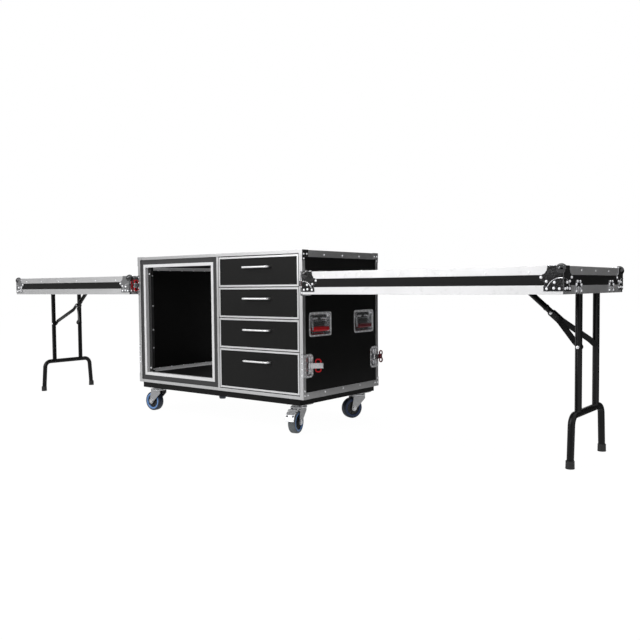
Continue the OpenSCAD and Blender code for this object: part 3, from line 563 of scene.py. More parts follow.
# %% Places on the case's ends
def side_place(sx, sy, y, z):
    return shift(sx * SIDE_X, sy * y, z) @ Matrix.Diagonal((sx, -sy, 1, 1))


def place_list(matrix, points, direction):
    """Points in a place, with the one direction in which their heads face."""
    turned = matrix.to_3x3() @ Vector(direction)
    return [(matrix @ Vector(p), turned) for p in points]


# %% [markdown]
# ## Boards, foam and rack sleeve
# The boards are flat and their CAD solids are right, so they only get their laminate. The rack sleeve is
# one CAD node with two trades in it, so it is split: a wide and thin solid is a board, any other is trim.

# %% Case boards
for board in ("outer_boards", "inner_boards", "caster_board"):
    paint(board, laminate)
# The trays get the paler laminate copy, which is painted light.
for board in ("table_tray_left", "table_tray_right"):
    paint(board, lid_laminate_painted_light)
paint("rack_foam", foam)
paint("drawer_runners", plated)


def is_board(low, high):
    spans = sorted(high[k] - low[k] for k in range(3))
    return spans[1] > 300 and spans[0] < 20


# The rack's boards take the darker laminate, which is painted shade in the deep bay.
softened("rack_sleeve", rack_laminate_painted_shade, 0.4, "rack_boards", is_board)
softened("rack_sleeve", trim_alloy, 0.5, "rack_trim", lambda a, b: not is_board(a, b))
softened("rack_rails", rail_black, 0.3, "rack_rail_angles")

# %% [markdown]
# ## Profiles, corner plates and top plates of the casters
# These keep their CAD form. The corner plates are bright on the case's ends. Their front faces and all the
# low and rear plates are satin, like the profiles, as the photo shows them.

# %% Case metal
softened("edge_profiles", alloy, 0.6, "case_profiles")
caps = softened("corner_caps", nickel, 0.5, "case_corner_plates")
refinish(caps, alloy, lambda face: abs(face.normal.y) > 0.7 or face.center.z < 0.3 or face.center.y > 0.1)
softened("table_hangers", plated, 0.6, "table_hanger_brackets")
softened("caster_plates", fork_zinc, 0.6, "caster_top_plates")

# %% [markdown]
# ## Drawers
# The drawer fronts are black laminate inside a thin bright frame, with a bow pull bent from rod. The boxes
# carry their own slide rails, the only solids in the node that are thin from side to side.


# %% Drawer boxes and trims
def is_slide(low, high):
    return high[0] - low[0] < 7


def no_slide(low, high):
    return not is_slide(low, high)


for number in range(1, 5):
    node, drawer = f"drawer_box_{number}", f"drawer_{number}"
    softened(node, drawer_laminate, 0.3, drawer + "_boards", no_slide)
    softened(node, plated, 0.3, drawer + "_slides", is_slide)
    softened(f"drawer_trim_{number}", bright_alloy, 0.4, drawer + "_frame_and_pull")

# %% [markdown]
# ## Rivets of the case
# Rivets follow the profiles at a steady pitch, and cluster in the corner plates.

# %% Case rivets
CAP = 1.2
ROW_X = range(-450, 451, 150)
ROW_Y = (-134, 0, 132)
EDGES_Z = ((CASE_LOW, 1), (CASE_TOP, -1))
rivets = []
for sx in (-1, 1):
    for z, up in EDGES_Z:
        for sy in (-1, 1):
            for y, dz in ((10, 18), (30.5, 18), (10, 38)):
                rivets.append(((sx * (SIDE_X + CAP), sy * (FACE_Y - y), z + up * dz), (sx, 0, 0)))
        rivets += [((sx * SIDE_X, y, z + up * 20), (sx, 0, 0)) for y in ROW_Y]
heads("side_rivets", "case", rivets, 4.2, 3.2, dome_rivets)

rivets = []
for sy in (-1, 1):
    rivets += [((x, sy * (FACE_Y - 16), CASE_TOP), (0, 0, 1)) for x in ROW_X]
    for sx in (-1, 1):
        for x, y in ((18, 10), (18, 30), (34, 16)):
            rivets.append(((sx * (SIDE_X - x), sy * (FACE_Y - y), CASE_TOP + CAP), (0, 0, 1)))
for sx in (-1, 1):
    rivets += [((sx * (SIDE_X - 16), y, CASE_TOP), (0, 0, 1)) for y in ROW_Y]
for x in ROW_X:
    rivets += [((x, FACE_Y, z + up * 7), (0, 1, 0)) for z, up in EDGES_Z]
heads("top_and_rear_rivets", "case", rivets, 3.6, 1.6, dome_rivets)

# %% [markdown]
# ## Rack rivets and screws
# The angle along the sleeve's inner edges is riveted to the boards, and the rails are held by screws.

# %% Rack fixings
RACK_X = ((-499.0, 1), (-9.0, -1))
RACK_Z = ((208.5, 1), (748.5, -1))
fixings = []
for z, up in RACK_Z:
    for x, inward in RACK_X:
        for y in range(-205, 206, 82):
            fixings.append(((x + inward * 14, y, z + up * 2), (0, 0, up)))
            fixings.append(((x + inward * 2, y, z + up * 14), (inward, 0, 0)))
heads("rack_rivets", "case", fixings, 3.6, 1.5, dome_rivets)

screws = []
for x, inward in RACK_X:
    for sy in (-1, 1):
        for z in (218, 330, 425, 549, 707):
            screws.append(((x + inward * 2.2, sy * 243, z), (inward, 0, 0)))
        for z in (228, 716):
            screws.append(((x + inward * 10, sy * 267.2, z), (0, sy, 0)))
heads("rack_screws", "case", screws, 4.6, 4.0)


# %% [markdown]
# ## Recessed dishes
# A handle or latch dish is one sheet, pressed: a flat flange with round corners, a soft roll into the
# recess and a floor. Rounded outlines are lofted from the sheet's back, round its edge, to its front.


# %% A pressed dish
DISH_DEPTH, DISH_STANDS, SHEET, ROLL = 9.1, 1.2, 1.0, 3.0
# (level, growth) of each outline
BACK = [(-DISH_DEPTH - SHEET, -ROLL), (-DISH_DEPTH - SHEET, 0), (-DISH_DEPTH + ROLL, SHEET), (0, SHEET)]
EDGE = [(0, 0), (DISH_STANDS - 0.3, 0), (DISH_STANDS, -0.4)]
FRONT = [(DISH_STANDS, ROLL), (DISH_STANDS - 0.4 * ROLL, 0.3 * ROLL), (DISH_STANDS - ROLL, 0)]
FRONT += [(-DISH_DEPTH + ROLL, 0), (-DISH_DEPTH + 0.3 * ROLL, -0.35 * ROLL), (-DISH_DEPTH, -ROLL)]


def pressed_dish(shape, place, flange, recess):
    """flange and recess: (width, height, radius, y, z) in the dish's own plane."""
    rings = []
    for (w, h, r, y, z), steps in ((recess, BACK), (flange, EDGE), (recess, FRONT)):
        for level, grow in steps:
            points = rounded(w + 2 * grow, h + 2 * grow, max(r + grow, 0.5), level)
            rings.append([Vector((p.z, p.x + y, p.y + z)) for p in points])
    shape.loft(rings, place)


def stamped(shape, place, y, z, steps):
    """A stamped panel, by (width, height, radius, level) outlines from foot to crown."""
    shape.loft([[Vector((p.z, p.x + y, p.y + z)) for p in rounded(*step)] for step in steps], place)


# %% [markdown]
# ## Handle dishes
# Behind each grip lies a stamped panel with a ridge above it. Two lugs carry the bail's pin, and a torsion
# spring on each side of the middle pulls the grip back down.

# %% Handle dishes
HANDLE_Y = 166.0
HANDLE_FLANGE = (160.0, 108.0, 14, 0, 0)
HANDLE_RECESS = (137.6, 85.6, 9, 0, 0)
PANEL = [(88, 30, 3, -9.0), (88, 30, 3, -6.2), (85, 27, 3, -5.2), (74, 18, 5, -5.2), (70, 14, 5, -4.2)]
RIDGE = [(100, 22, 4, -9.0), (100, 22, 4, -7.2), (97, 19, 4, -6.6)]
EYE = mirrored([(2.6, -1.2), (5.2, -1.2)])
COIL_TURNS, COIL_STEPS, COIL_R = 7, 12, 3.4
dishes, plates, dish_heads = Shape(), Shape(), []


def spring(s):
    """The path of the torsion spring on side s."""
    path = []
    for i in range(COIL_TURNS * COIL_STEPS + 1):
        a = 2 * pi * i / COIL_STEPS
        y = s * (17 + 30 * i / (COIL_TURNS * COIL_STEPS))
        path.append((-3.2 + COIL_R * cos(a), y, 25 + COIL_R * sin(a)))
    return path + [(-5.4, s * 47, 18), (-5.6, s * 46, 6)]


for sx, sy in CORNERS.values():
    place = side_place(sx, sy, HANDLE_Y, CASE_MID)
    pressed_dish(dishes, place, HANDLE_FLANGE, HANDLE_RECESS)
    stamped(plates, place, 0, -2, PANEL)
    stamped(plates, place, 0, 27, RIDGE)
    spots = [(DISH_STANDS, y, z) for y in (-72, -44, -15, 15, 44, 72) for z in (-49, 49)]
    spots += [(DISH_STANDS, y, z) for z in (-22, 22) for y in (-75, 75)]
    dish_heads += place_list(place, spots, (1, 0, 0))
    for s in (-1, 1):
        low, high = span(s, 56.3, 59.3)
        dishes.box((-9.3, low, 16), (0.2, high, 28), place)
        plates.rod(2.5, -3.4, 3.4, place @ shift(-4, s * 54, 22) @ turn(90, "X"))
        plates.lathe(EYE, place @ shift(-4, s * 60.5, 22) @ turn(90, "X"), 20)
        plates.wire(spring(s), 1.15, place)

# %% [markdown]
# ## Latch dishes
# The latch dish wraps the case's upright edge: a flange with round ends on the end face, a return on the
# front or rear, and a small recess behind the hinge. The arm turns on a pin between two lugs. All dishes
# become one piece, and their flat flanges get a paler, duller zinc.

# %% Latch dishes
LATCH_H = 104.0
PIN = shift(4, 38, 0)
LATCH_FLANGE = (69.0, LATCH_H, 19, 34.5, 0)
LATCH_RECESS = (35.0, 79.0, 8, 41, 0)
EDGE_STRIP = [(13, LATCH_H - 2, 3, 0.2), (13, LATCH_H - 2, 3, 1.2), (12, LATCH_H - 3, 3, 1.5)]
LATCH_RIVETS = [(12, 43), (12, 27), (12, 9), (30, 46), (50, 46), (64, 34), (64.5, 12)]
for sx, sy in CORNERS.values():
    for z in LEVELS.values():
        place = side_place(sx, sy, FACE_Y, z)
        pressed_dish(dishes, place, LATCH_FLANGE, LATCH_RECESS)
        stamped(dishes, place, 7, 0, EDGE_STRIP)
        dishes.box((-11, -0.5, -LATCH_H / 2), (0.5, 1.2, LATCH_H / 2), place)
        spots = [(DISH_STANDS, y, s * h) for s in (-1, 1) for y, h in LATCH_RIVETS]
        dish_heads += place_list(place, spots, (1, 0, 0))
        spots = [(-5, -0.5, s * h) for s in (-1, 1) for h in (40, 14)]
        dish_heads += place_list(place, spots, (0, -1, 0))
        for s in (-1, 1):
            low, high = span(s, 12.3, 15.3)
            dishes.box((-9.3, 34, low), (8.2, 42, high), place)
        plates.rod(2.5, -17, 17, place @ PIN)
pressed = piece("pressed_dishes", dishes, "case", dish_zinc, 0.25, ("recess_dishes",), 40)
on_top = (SIDE_X + 0.8) * MM
refinish(pressed, flange_zinc, lambda face: abs(face.normal.x) > 0.9 and abs(face.center.x) > on_top)
piece("dish_plates_and_springs", plates, "case", plated, 0.3, ("recess_dishes",), 30)
heads("dish_rivets", "case", dish_heads, 2.9, 1.8)


# %% [markdown]
# ## Handles
# Each bail is two flat links with a moulded red grip between them, slightly barrelled and with a shallow
# groove near each end. The grips and knobs that the photo shows in shade are a darker red.

# %% Red grips and their bails
GRIP_END = [(3.0, -52), (8.6, -52), (9.6, -50.5), (9.9, -47), (8.9, -45.8), (8.9, -44.6), (9.9, -43.4)]
GRIP = GRIP_END + [(9.6 + 0.4 * cos(pi * t / 43), t) for t in range(-40, 41, 10)]
GRIP += [(r, -h) for r, h in reversed(GRIP_END)]
LINK = arc(-4, 22, 4.5, 0, 180, 8) + arc(1.5, -22, 4.5, 180, 180, 8)
for name, (sx, sy) in CORNERS.items():
    place = side_place(sx, sy, HANDLE_Y, CASE_MID)
    body, replaced = f"grip_{name}", (f"handle_grip_{name}",)
    grip = Shape()
    grip.lathe(GRIP, place @ shift(1.5, 0, -22) @ turn(90, "X"), 32, False)
    # Rear grips get the darker red, which is painted shade.
    red = red_plastic if sy < 0 else red_in_painted_shade
    piece(body + "_sleeve", grip, body, red, 0.0, replaced, 40)
    bail = Shape()
    for s in (-1, 1):
        bail.plate(LINK, *span(s, 52, 56), place)
    piece(body + "_bail", bail, body, plated, 0.8, replaced)


# %% [markdown]
# ## Butterfly latches
# The arm is a pressed strap with two stiffening folds and an eye round the pin. The knob that screws its
# hook tight has two ring wings like a butterfly's. Both are drawn closed and then turned about the pin.

# %% Latch drawings
STRAP = [(9.2, 38), (6.2, 38), (6.2, -19), (0, -19), (0, -22), (9.2, -22)]
ARM_HALF = 11.6
ARM_EYE = mirrored([(2.6, -ARM_HALF), (5.2, -ARM_HALF)])
KNOB_HUB = [(3.1, 0), (8.4, 0), (8.4, 5.8), (7.0, 7.6), (5.4, 7.6), (5.0, 6.6), (3.1, 6.6)]
WING_STEPS = 28


def wing(shape, place, s):
    """One ring wing of the butterfly, from the hub outwards along local y."""
    loop = []
    for i in range(WING_STEPS):
        a = 2 * pi * i / WING_STEPS
        loop.append((11.5 * sin(a) * (1 - 0.18 * cos(a)), s * (15.8 - 11.6 * cos(a)), 5.0))
    shape.wire(loop, 3.6, place, 10, True, 0.8)
    web = [(p.x, p.y + s * 7.6) for p in rounded(12, 6, 2.5, 0.0, 4)]
    shape.prism(web, 2.6, 6.0, place)


# %% Latch arms and knobs
for name, (sx, sy) in CORNERS.items():
    for level, z in LEVELS.items():
        tag = f"{name}_{level}"
        opened = 135 if sy < 0 and level == "low" else 0
        place = side_place(sx, sy, FACE_Y, z) @ PIN @ turn(opened, "Z") @ PIN.inverted()
        arm = Shape()
        arm.lathe(ARM_EYE, place @ PIN, 24)
        arm.prism(STRAP, -ARM_HALF, ARM_HALF, place)
        for s in (-1, 1):
            arm.box((6.0, -14, s * 10.6 - 1.0), (9.9, 30, s * 10.6 + 1.0), place)
        arm.rod(3, 0, 8, place @ shift(9.2, -2, 0) @ turn(90, "Y"))
        arm_name, knob_name = f"latch_arm_{tag}", f"latch_knob_{tag}"
        piece(f"latch_{tag}_arm", arm, arm_name, plated, 0.5, (arm_name,))
        knob = Shape()
        base = place @ shift(9.5, -2, 0) @ turn(90, "Y") @ turn(90, "Z")
        knob.lathe(KNOB_HUB, base, 28)
        for s in (-1, 1):
            wing(knob, base, s)
        # Rear knobs and the upper front-right knob get the darker red, which is painted shade.
        shaded = sy > 0 or tag == "front_right_high"
        red = red_in_painted_shade if shaded else red_plastic
        piece(f"latch_{tag}_butterfly", knob, knob_name, red, 0.0, (knob_name,), 40)

# %% [markdown]
# ## Casters
# A swivel caster is a top plate, a double ball race, a pressed fork and a wheel on an axle bolt. The fork
# keeps its CAD form with softer edges. The wheel is turned: a grey or navy tread, a blue side ring, darker
# on the rear wheels as painted shade, and a black nylon hub. Its ribs are radial fins, so each is one small
# box turned round the axle.

# %% Caster drawings
CASTER_X, CASTER_Y = 478.5, 225
TRAIL, AXLE_Z, RIBS = 36, 50, 10
SWIVEL = {"front_left": 185.7, "front_right": -74.3, "rear_left": 129, "rear_right": 246.3}
RACE = [(31, 111.5), (33.5, 110.3), (36, 110.3), (36.5, 112), (36.5, 114.5), (34, 115.9), (31, 115.9)]
RING = [(32.5, 11.5), (33.2, 15.6), (35, 17.0), (39.5, 17.4), (41.6, 16.4), (41, 11)]
TREAD = mirrored([(41, -16.2), (44, -17.4), (47, -16.4), (49.2, -13.5), (50, -9)]) + [(40, 10), (40, -10)]
HUB = mirrored([(5.1, -20.4), (13, -20.4), (14, -18.5), (14, -13), (33, -12), (39.9, -9)])


def caster_place(name):
    """Origin on the floor under the swivel axis, with x towards the axle."""
    sx, sy = CORNERS[name]
    return shift(sx * CASTER_X, sy * CASTER_Y, 0) @ turn(SWIVEL[name], "Z")


# %% Forks and wheels
for name, (sx, sy) in CORNERS.items():
    at = caster_place(name)
    axle = at @ shift(TRAIL, 0, AXLE_Z) @ turn(90, "X")
    softened(f"caster_fork_{name}", fork_zinc, 0.9, f"caster_{name}_fork")
    race = Shape()
    race.lathe(RACE, at)
    for s in (-1, 1):
        race.loft([circle(9.5, 6, s * 25.2), circle(9.5, 6, s * 29.4), circle(8.2, 6, s * 30.4)], axle)
        race.lathe([(9.6, s * 24.6), (13, s * 24.6), (13, s * 26.2), (9.6, s * 26.2)], axle, 32)
    piece(f"caster_{name}_race_and_nuts", race, f"caster_{name}", plated, 0.4)

    body, replaced = f"wheel_{name}", (f"caster_wheel_{name}",)
    tread = Shape()
    tread.lathe(TREAD, axle, 64)
    color = tread_grey if name == "front_right" else tread_navy
    piece(body + "_tread", tread, body, color, 0.0, replaced, 40)
    ring = Shape()
    for s in (-1, 1):
        ring.lathe([(r, s * h) for r, h in RING], axle, 56)
    # Rear wheels take the darker ring copy, which is painted shade.
    color = ring_blue if sy < 0 else ring_in_painted_shade
    piece(body + "_ring", ring, body, color, 0.0, replaced, 40)
    hub = Shape()
    hub.lathe(HUB, axle, 48)
    for i in range(RIBS):
        for s in (-1, 1):
            low, high = span(s, 10, 15.5)
            hub.box((13, -1.2, low), (33, 1.2, high), axle @ turn(360 / RIBS * i, "Z"))
    piece(body + "_hub", hub, body, hub_nylon, 0.4, replaced, 30)

# %% [markdown]
# ## Brake pedals
# The pedal is one bright pressing on the fork: a broad top plate, a step with two side ears, two arms to the
# hinge pin, and a lower tongue in front of the wheel. Two dark plates on the tongue are painted shade where
# its windows are. The drawings start at the hinge and follow the CAD pedal's side outline.

# %% Brake pedals
TOP = [(22, -1.2), (22, 1.4), (33, 1.0), (40, -4.2), (39, -6.4), (32, -1.6)]
STEP = [(38, -4.6), (45, -9.4), (52, -13.6), (60, -17.6)]
STEP += [(61.5, -16.0), (52.5, -10.8), (46, -6.8), (39, -2.4)]
TONGUE = [(59.5, -17.8), (65, -30), (70.2, -45.6), (72.6, -44.8), (67.4, -28.8), (62.2, -16.6)]
EAR = [(42, -9.4), (47, -6.0), (56, -11.8), (60, -17.4), (54, -16.6), (46, -12.4)]
PEDAL_ARM = [(-5, 3), (-5, -4), (4, -5), (24, -4.4), (26, -0.6), (4, 3)]
for name in ("front_right", "rear_left"):
    hinge = caster_place(name) @ shift(32, 0, 106.2)
    body = f"pedal_{name}"
    pedal = Shape()
    for outline, half in ((TOP, 24.0), (STEP, 17.0), (TONGUE, 21.0)):
        pedal.plate(outline, -half, half, hinge)
    for s in (-1, 1):
        pedal.plate(EAR, *span(s, 17.2, 21.6), hinge)
        pedal.plate(PEDAL_ARM, *span(s, 17.5, 19.5), hinge)
    pedal.rod(2.45, -24.4, 24.4, hinge @ turn(90, "X"))
    piece(body + "_lever", pedal, body, polished, 0.6, (f"brake_pedal_{name}",))
    # Dark plates where the pedal's windows are: painted shade.
    painted_window_shade = Shape()
    slope = hinge @ shift(61.6, 0, -17.0) @ turn(64, "Y")
    for s in (-1, 1):
        outline = [(p.x + 6, p.y + s * 14.5) for p in rounded(8, 9, 1.5)]
        painted_window_shade.prism(outline, 0.6, 1.25, slope)
    piece(body + "_windows", painted_window_shade, body, hub_nylon)

# %% Caster bolts
plate_bolts = []
for sx, sy in CORNERS.values():
    for x in (-40, 40):
        for y in (-30, 30):
            plate_bolts.append(((sx * CASTER_X + x, sy * CASTER_Y + y, 124.5), (0, 0, -1)))
heads("caster_bolts", "case", plate_bolts, 6.5, 4.0)

# %% [markdown]
# ## Tables
# The lids' rims are the same two extrusions all round, an angle on top and a channel below. The fittings
# node holds all of a lid's metal, so it is sorted by size. A ball corner is a chrome ball on bright leaves.
# The ball's chrome is coloured dark, a painted dark reflection, and its faces all lie at one distance from
# its middle.


# %% Table metal
LID_INNER, LID_OUTER, LID_Y, LID_TOP, RIM_LOW = 584.5, 1697.5, 323.5, 706.0, 611.0
BALL_IN, BALL_NEAR, BALL_FAR, BALL_FACET = 10.5, 18.3, 19.2, 4e-5


def lid_kind(low, high):
    """Long rims, corners with keepers, or brackets under the board."""
    spans = sorted(high[k] - low[k] for k in range(3))
    if spans[2] > 500:
        return "rim"
    if spans[0] < 2 or low[2] < RIM_LOW + 20:
        return "corner"
    return "bracket"


def of_kind(kind):
    return lambda low, high: lid_kind(low, high) == kind


def on_ball(face):
    """Whether a face is part of a ball. The balls mirror each other, so signs don't matter."""
    x, y, z = (abs(v) / MM for v in face.center)
    away = min(abs(x - end) for end in (LID_INNER + BALL_IN, LID_OUTER - BALL_IN))
    reach = Vector((away, y - LID_Y + BALL_IN, z - LID_TOP + BALL_IN)).length
    return BALL_NEAR < reach < BALL_FAR and face.area < BALL_FACET


for side in SIDES:
    node, table = f"table_fittings_{side}", f"table_{side}"
    softened(node, rim_alloy, 0.6, table + "_rim", of_kind("rim"))
    corners = softened(node, nickel, 0.5, table + "_corners", of_kind("corner"))
    # The balls' dark colour is a painted dark reflection.
    refinish(corners, chrome_painted_dark_reflection, on_ball)
    softened(node, plated, 0.5, table + "_brackets", of_kind("bracket"))

# %% [markdown]
# ## Corner brackets, keepers and rivets of the lids
# Over the leaf of each ball corner lies a bracket with a curved upper edge that goes down to the rim. It is
# drawn once, inward and down from the lid's corner, and laid on both faces of every corner. The keepers,
# which the latches' hooks hold, get a raised lip and a bent wire.

# %% Places on a lid
BRACKET = [(1, 40), (10, 39), (20, 40), (30, 44), (40, 51), (48, 60), (52, 68)]
BRACKET_FOOT = [(66, 69), (66.5, 84.5), (1, 84.5)]
LEAF_RIVETS = [(75, 38), (56.6, 51.6)]
BRACKET_RIVETS = [(55, 76), (31, 74), (29, 55), (12, 76)]
TOP_RIVETS = [(34, 14, -1.3), (14, 34, -1.3)]
KEEPER_Y, KEEPER_Z = 178.5, RIM_LOW + 24
KEEPER_RIVETS = [(24, 8), (13, 19), (-13, 19), (-24, 8), (25, -14), (-25, -14)]
KEEPER_WIRE = [(-12, -20), (-12, -6), (-6, 1), (6, 1), (12, -6), (12, -20)]
LIP = [(27 * c, 19 * s) for c, s in arc(0, 0, 1, -28, 236, 14)]


def lid_corner(sx, outer, sy):
    """Origin on a lid's top corner; x and y point inward and z down."""
    end, inward = (LID_OUTER, -1) if outer else (LID_INNER, 1)
    return shift(sx * end, sy * LID_Y, LID_TOP) @ Matrix.Diagonal((sx * inward, -sy, -1, 1))


def on_long_side(a, b, t):
    return Vector((a, -t, b))


def on_end(a, b, t):
    return Vector((-t, a, b))


# %% Brackets and keepers
def add_brackets(brackets, place):
    """Adds a corner's brackets and returns its rivets' places."""
    found = []
    for on, out in ((on_long_side, (0, -1, 0)), (on_end, (-1, 0, 0))):
        brackets.loft([[on(a, b, t) for a, b in BRACKET + BRACKET_FOOT] for t in (1.2, 2.3)], place)
        brackets.wire([on(a, b + 1.0, 2.2) for a, b in BRACKET], 1.1, place)
        found += place_list(place, [on(a, b, 1.3) for a, b in LEAF_RIVETS], out)
        found += place_list(place, [on(a, b, 2.3) for a, b in BRACKET_RIVETS], out)
    return found + place_list(place, TOP_RIVETS, (0, 0, -1))


def add_keeper(brackets, place):
    """Adds a keeper's lip and wire and returns its rivets' places."""
    lip = [(1.6, y, z) for y, z in LIP]
    lip[0], lip[-1] = [(x, y, z - 6) for x, y, z in (lip[0], lip[-1])]
    brackets.wire(lip, 1.5, place)
    brackets.wire([(1.8, y, z) for y, z in KEEPER_WIRE], 1.6, place)
    return place_list(place, [(1.3, y, z) for y, z in KEEPER_RIVETS], (1, 0, 0))


for side, sx in SIDES.items():
    table = f"table_{side}"
    brackets = Shape()
    lid = []
    for outer in (False, True):
        for sy in (-1, 1):
            lid += add_brackets(brackets, lid_corner(sx, outer, sy))
        end, way = (LID_OUTER, 1) if outer else (LID_INNER, -1)
        for s in (-1, 1):
            mirror = Matrix.Diagonal((sx * way, 1, 1, 1))
            lid += add_keeper(brackets, shift(sx * end, s * KEEPER_Y, KEEPER_Z) @ mirror)
    piece(table + "_corner_brackets", brackets, table, nickel, 0.2)
    heads(table + "_corner_rivets", table, lid, 4.8, 3.4)
    rim = []
    for y in (-148, 0, 148):
        rim.append(((sx * LID_OUTER, y, LID_TOP - 14), (sx, 0, 0)))
        rim.append(((sx * LID_INNER, y, LID_TOP - 14), (-sx, 0, 0)))
    for x in (700, 880, 1060, 1240, 1420, 1580):
        for sy in (-1, 1):
            rim.append(((sx * x, sy * LID_Y, LID_TOP - 20), (0, sy, 0)))
            rim.append(((sx * x, sy * (LID_Y - 15), LID_TOP), (0, 0, 1)))
    heads(table + "_rim_rivets", table, rim, 3.4, 1.8, dome_rivets)

# %% [markdown]
# ## Legs and braces
# The legs are round tube in gloss black. Their CAD solids keep their form, but the rubber caps are new and
# the lower legs are spread a little, as bent frames are. Bright pins show at every joint.


# %% Legs
SPLAY, CROSSBAR_Z, BEND_Y = 13.0, 183.0, 110
LEG_X, FOOT_Y, UPRIGHT_Y, PIVOT_Z, BRACE_Z = 1670, 172, 94, 678, 421
MID_X, MID_Z = 1537.03, 537.63
CAP_WALL = [(12.8, 3), (12.8, 28), (15.2, 28)]
CAP_RIBS = [(15.5, 26.5), (15.2, 24), (15.5, 22), (15.2, 20), (15.5, 17)]
CAP_SOLE = [(15.5, 6), (16.0, 4), (16.0, 1), (15.2, 0), (0.5, 0), (0.5, 2.7)]
for side, sx in SIDES.items():
    node, leg = f"table_leg_{side}", f"leg_{side}"
    tubes = solids_of(node, lambda low, high: high[2] > 60)
    for vert in tubes.bm.verts:
        if abs(vert.co.y) > BEND_Y:
            vert.co.y -= copysign(SPLAY * vert.co.z / CROSSBAR_Z, vert.co.y)
    piece(leg + "_tubes", tubes, leg, black_coat, 0.0, (node,))
    caps = Shape()
    for y in (-FOOT_Y, FOOT_Y):
        caps.lathe(CAP_WALL + CAP_RIBS + CAP_SOLE, shift(sx * LEG_X, y, 0), 36, False)
    piece(leg + "_foot_caps", caps, leg, rubber, 0.0, (node,), 40)
    softened(f"brace_link_{side}", black_coat, 0.0, f"link_{side}_bar")
    softened(f"brace_fork_{side}", black_coat, 0.5, f"fork_{side}_prongs")
    ends = [(y, s) for y in (-UPRIGHT_Y, UPRIGHT_Y) for s in (-1, 1)]
    low = [((sx * LEG_X, y + s * 12.5, BRACE_Z), (0, s, 0)) for y, s in ends]
    high = [((sx * LEG_X, y + s * 16.6, PIVOT_Z), (0, s, 0)) for y, s in ends]
    mid = [((sx * MID_X, s * 15.6, MID_Z), (0, s, 0)) for s in (-1, 1)]
    heads(leg + "_pins", leg, low, 6.5, 3.0)
    heads(f"table_{side}_pins", f"table_{side}", high, 6.5, 2.5)
    heads(f"fork_{side}_pins", f"fork_{side}", mid, 7.0, 3.2)

# %% [markdown]
# ## Studio
# The photograph has a white ground and soft light from above and in front. The floor and world are white to
# the camera, so the ground has no edge. For mirror rays the floor glows half as much, and three soft lamps
# give the metal its highlights.

# %% Floor
ground = Shape()
ground.box((-14000, -14000, -20), (14000, 14000, 0))
floor = add_object("studio_floor", ground.mesh("studio_floor"))
f = Finish("white_floor")
f.surface(Base_Color=grey(0.8), Roughness=0.9, Specular_IOR_Level=0.1)
seen, glossy, through = f.ray("Camera"), f.ray("Glossy"), f.ray("Transmission")
glow = f.node("ShaderNodeEmission", {"Color": grey(1.0), "Strength": 1.0 + 0.03 * seen})
share = 0.955 * seen + 0.5 * glossy + 0.5 * through
f.show(f.node("ShaderNodeMixShader", {0: share, 1: f.lit, 2: glow}), "Material Output")
floor.data.materials.append(f.material)

# %% World
world = bpy.data.worlds.new("studio")
bpy.context.scene.world = world
world.use_nodes = True
sky = Graph(world.node_tree)
sky.tree.nodes.clear()
soft = sky.node("ShaderNodeBackground", {"Color": grey(1.0), "Strength": 0.5})
white = sky.node("ShaderNodeBackground", {"Color": grey(1.0), "Strength": 1.0})
looked = sky.ray("Camera")
for kind in ("Glossy", "Transmission"):
    looked = looked.math("MAXIMUM", looked, sky.ray(kind))
sky.tree.nodes.new("ShaderNodeOutputWorld")
sky.show(sky.node("ShaderNodeMixShader", {0: looked, 1: soft, 2: white}), "World Output")
print("world with", len(sky.tree.nodes), "nodes")


# %% Lamps
def lamp(name, spot, target, size, power):
    data = bpy.data.lights.new(name, "AREA")
    data.shape = "RECTANGLE"
    data.size, data.size_y = size
    data.energy = power
    made = add_object(name, data)
    made.location = spot
    made.rotation_euler = (Vector(target) - Vector(spot)).to_track_quat("-Z", "Y").to_euler()
    print("lamp", name, power, "W")


lamp("front_box", (-1.6, -4.3, 2.1), (-0.9, 0, 0.7), (3.6, 1.5), 85)
lamp("key", (0.2, -3.6, 3.6), (0, 0, 0.5), (1.3, 1.0), 55)
lamp("top", (0.3, 0.8, 4.2), (0, 0, 0.6), (3.5, 2.0), 40)


# %% [markdown]
# ## Flags
# Bright metal shows what stands round it, and in an all-white room it looks like paper. So photographers
# hang dark cloths, called flags, out of the picture. These cards are seen only by mirror rays, so they take
# no light away and throw no shadow.

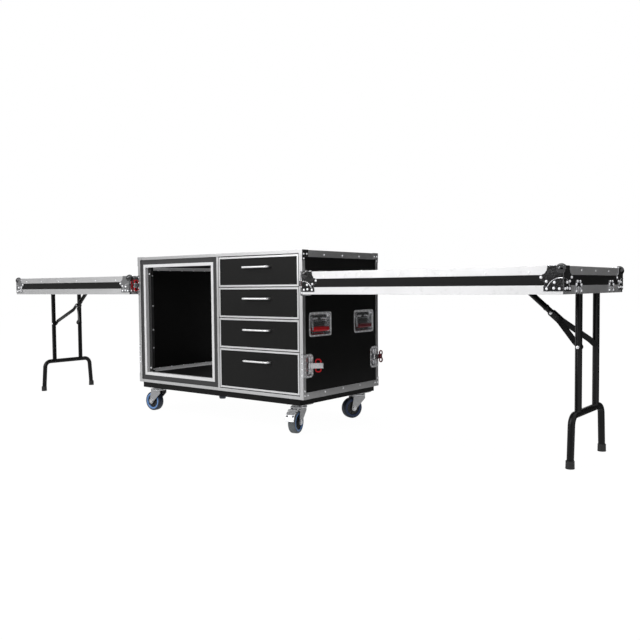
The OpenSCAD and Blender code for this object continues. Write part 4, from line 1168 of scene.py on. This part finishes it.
# %% Flags
def flag(name, corners, level):
    mesh = bpy.data.meshes.new(name)
    mesh.from_pydata([Vector(c) for c in corners], [], [(0, 1, 2, 3)])
    card = add_object(name, mesh)
    f = Finish(name)
    f.show(f.node("ShaderNodeEmission", {"Color": grey(level), "Strength": 1.0}), "Material Output")
    mesh.materials.append(f.material)
    for rays in ("camera", "diffuse", "transmission", "volume_scatter", "shadow"):
        setattr(card, f"visible_{rays}", False)


def standing(name, start, end, low, high, level):
    """A flag over the line from start to end on the floor, between two heights."""
    flag(name, [(*start, low), (*end, low), (*end, high), (*start, high)], level)


standing("flag_back_right", (0.8, 4.0), (7.0, 4.0), 0.0, 3.2, 0.02)
flag("flag_floor_right", [(0.9, 0.25, 0.004), (7.0, 0.25, 0.004), (7.0, 5.5, 0.004), (1.0, 5.5, 0.004)], 0.05)
standing("flag_front", (-4.4, -4.0), (1.4, -4.0), 0.0, 1.15, 0.03)
standing("flag_camera", (1.6, -4.7), (4.9, -2.9), 0.0, 2.6, 0.02)
standing("flag_far_left", (-8.5, -1.2), (-4.2, -4.6), 0.0, 2.6, 0.33)

# %% [markdown]
# ## Camera
# The perspective of the case's edges says where the camera stood: in front, to the right, and lower than the
# case's top. The focal length in pixels becomes millimetres of the sensor.

# %% Camera
EYE_POINT = (2.5717, -2.7056, 0.6458)
FOCAL_PX, FRAME_PX, SENSOR = 735.4, 640.0, 36.0
YAW, PITCH, ROLL = (radians(a) for a in (-38.46, -2.645, -0.5))
ahead = Vector((sin(YAW) * cos(PITCH), cos(YAW) * cos(PITCH), sin(PITCH)))
level = Vector((cos(YAW), -sin(YAW), 0))
above = level.cross(ahead)
right = cos(ROLL) * level + sin(ROLL) * above
up = -sin(ROLL) * level + cos(ROLL) * above
view = Matrix((right, up, -ahead)).transposed().to_4x4()
eye = bpy.data.cameras.new("camera")
eye.sensor_width = SENSOR
eye.sensor_fit = "HORIZONTAL"
eye.lens = FOCAL_PX / FRAME_PX * SENSOR
eye.clip_end = 60
camera = add_object("camera", eye)
camera.matrix_world = Matrix.Translation(EYE_POINT) @ view
bpy.context.scene.camera = camera
bpy.context.scene.view_settings.view_transform = "Standard"
print("lens", round(eye.lens, 2), "mm")
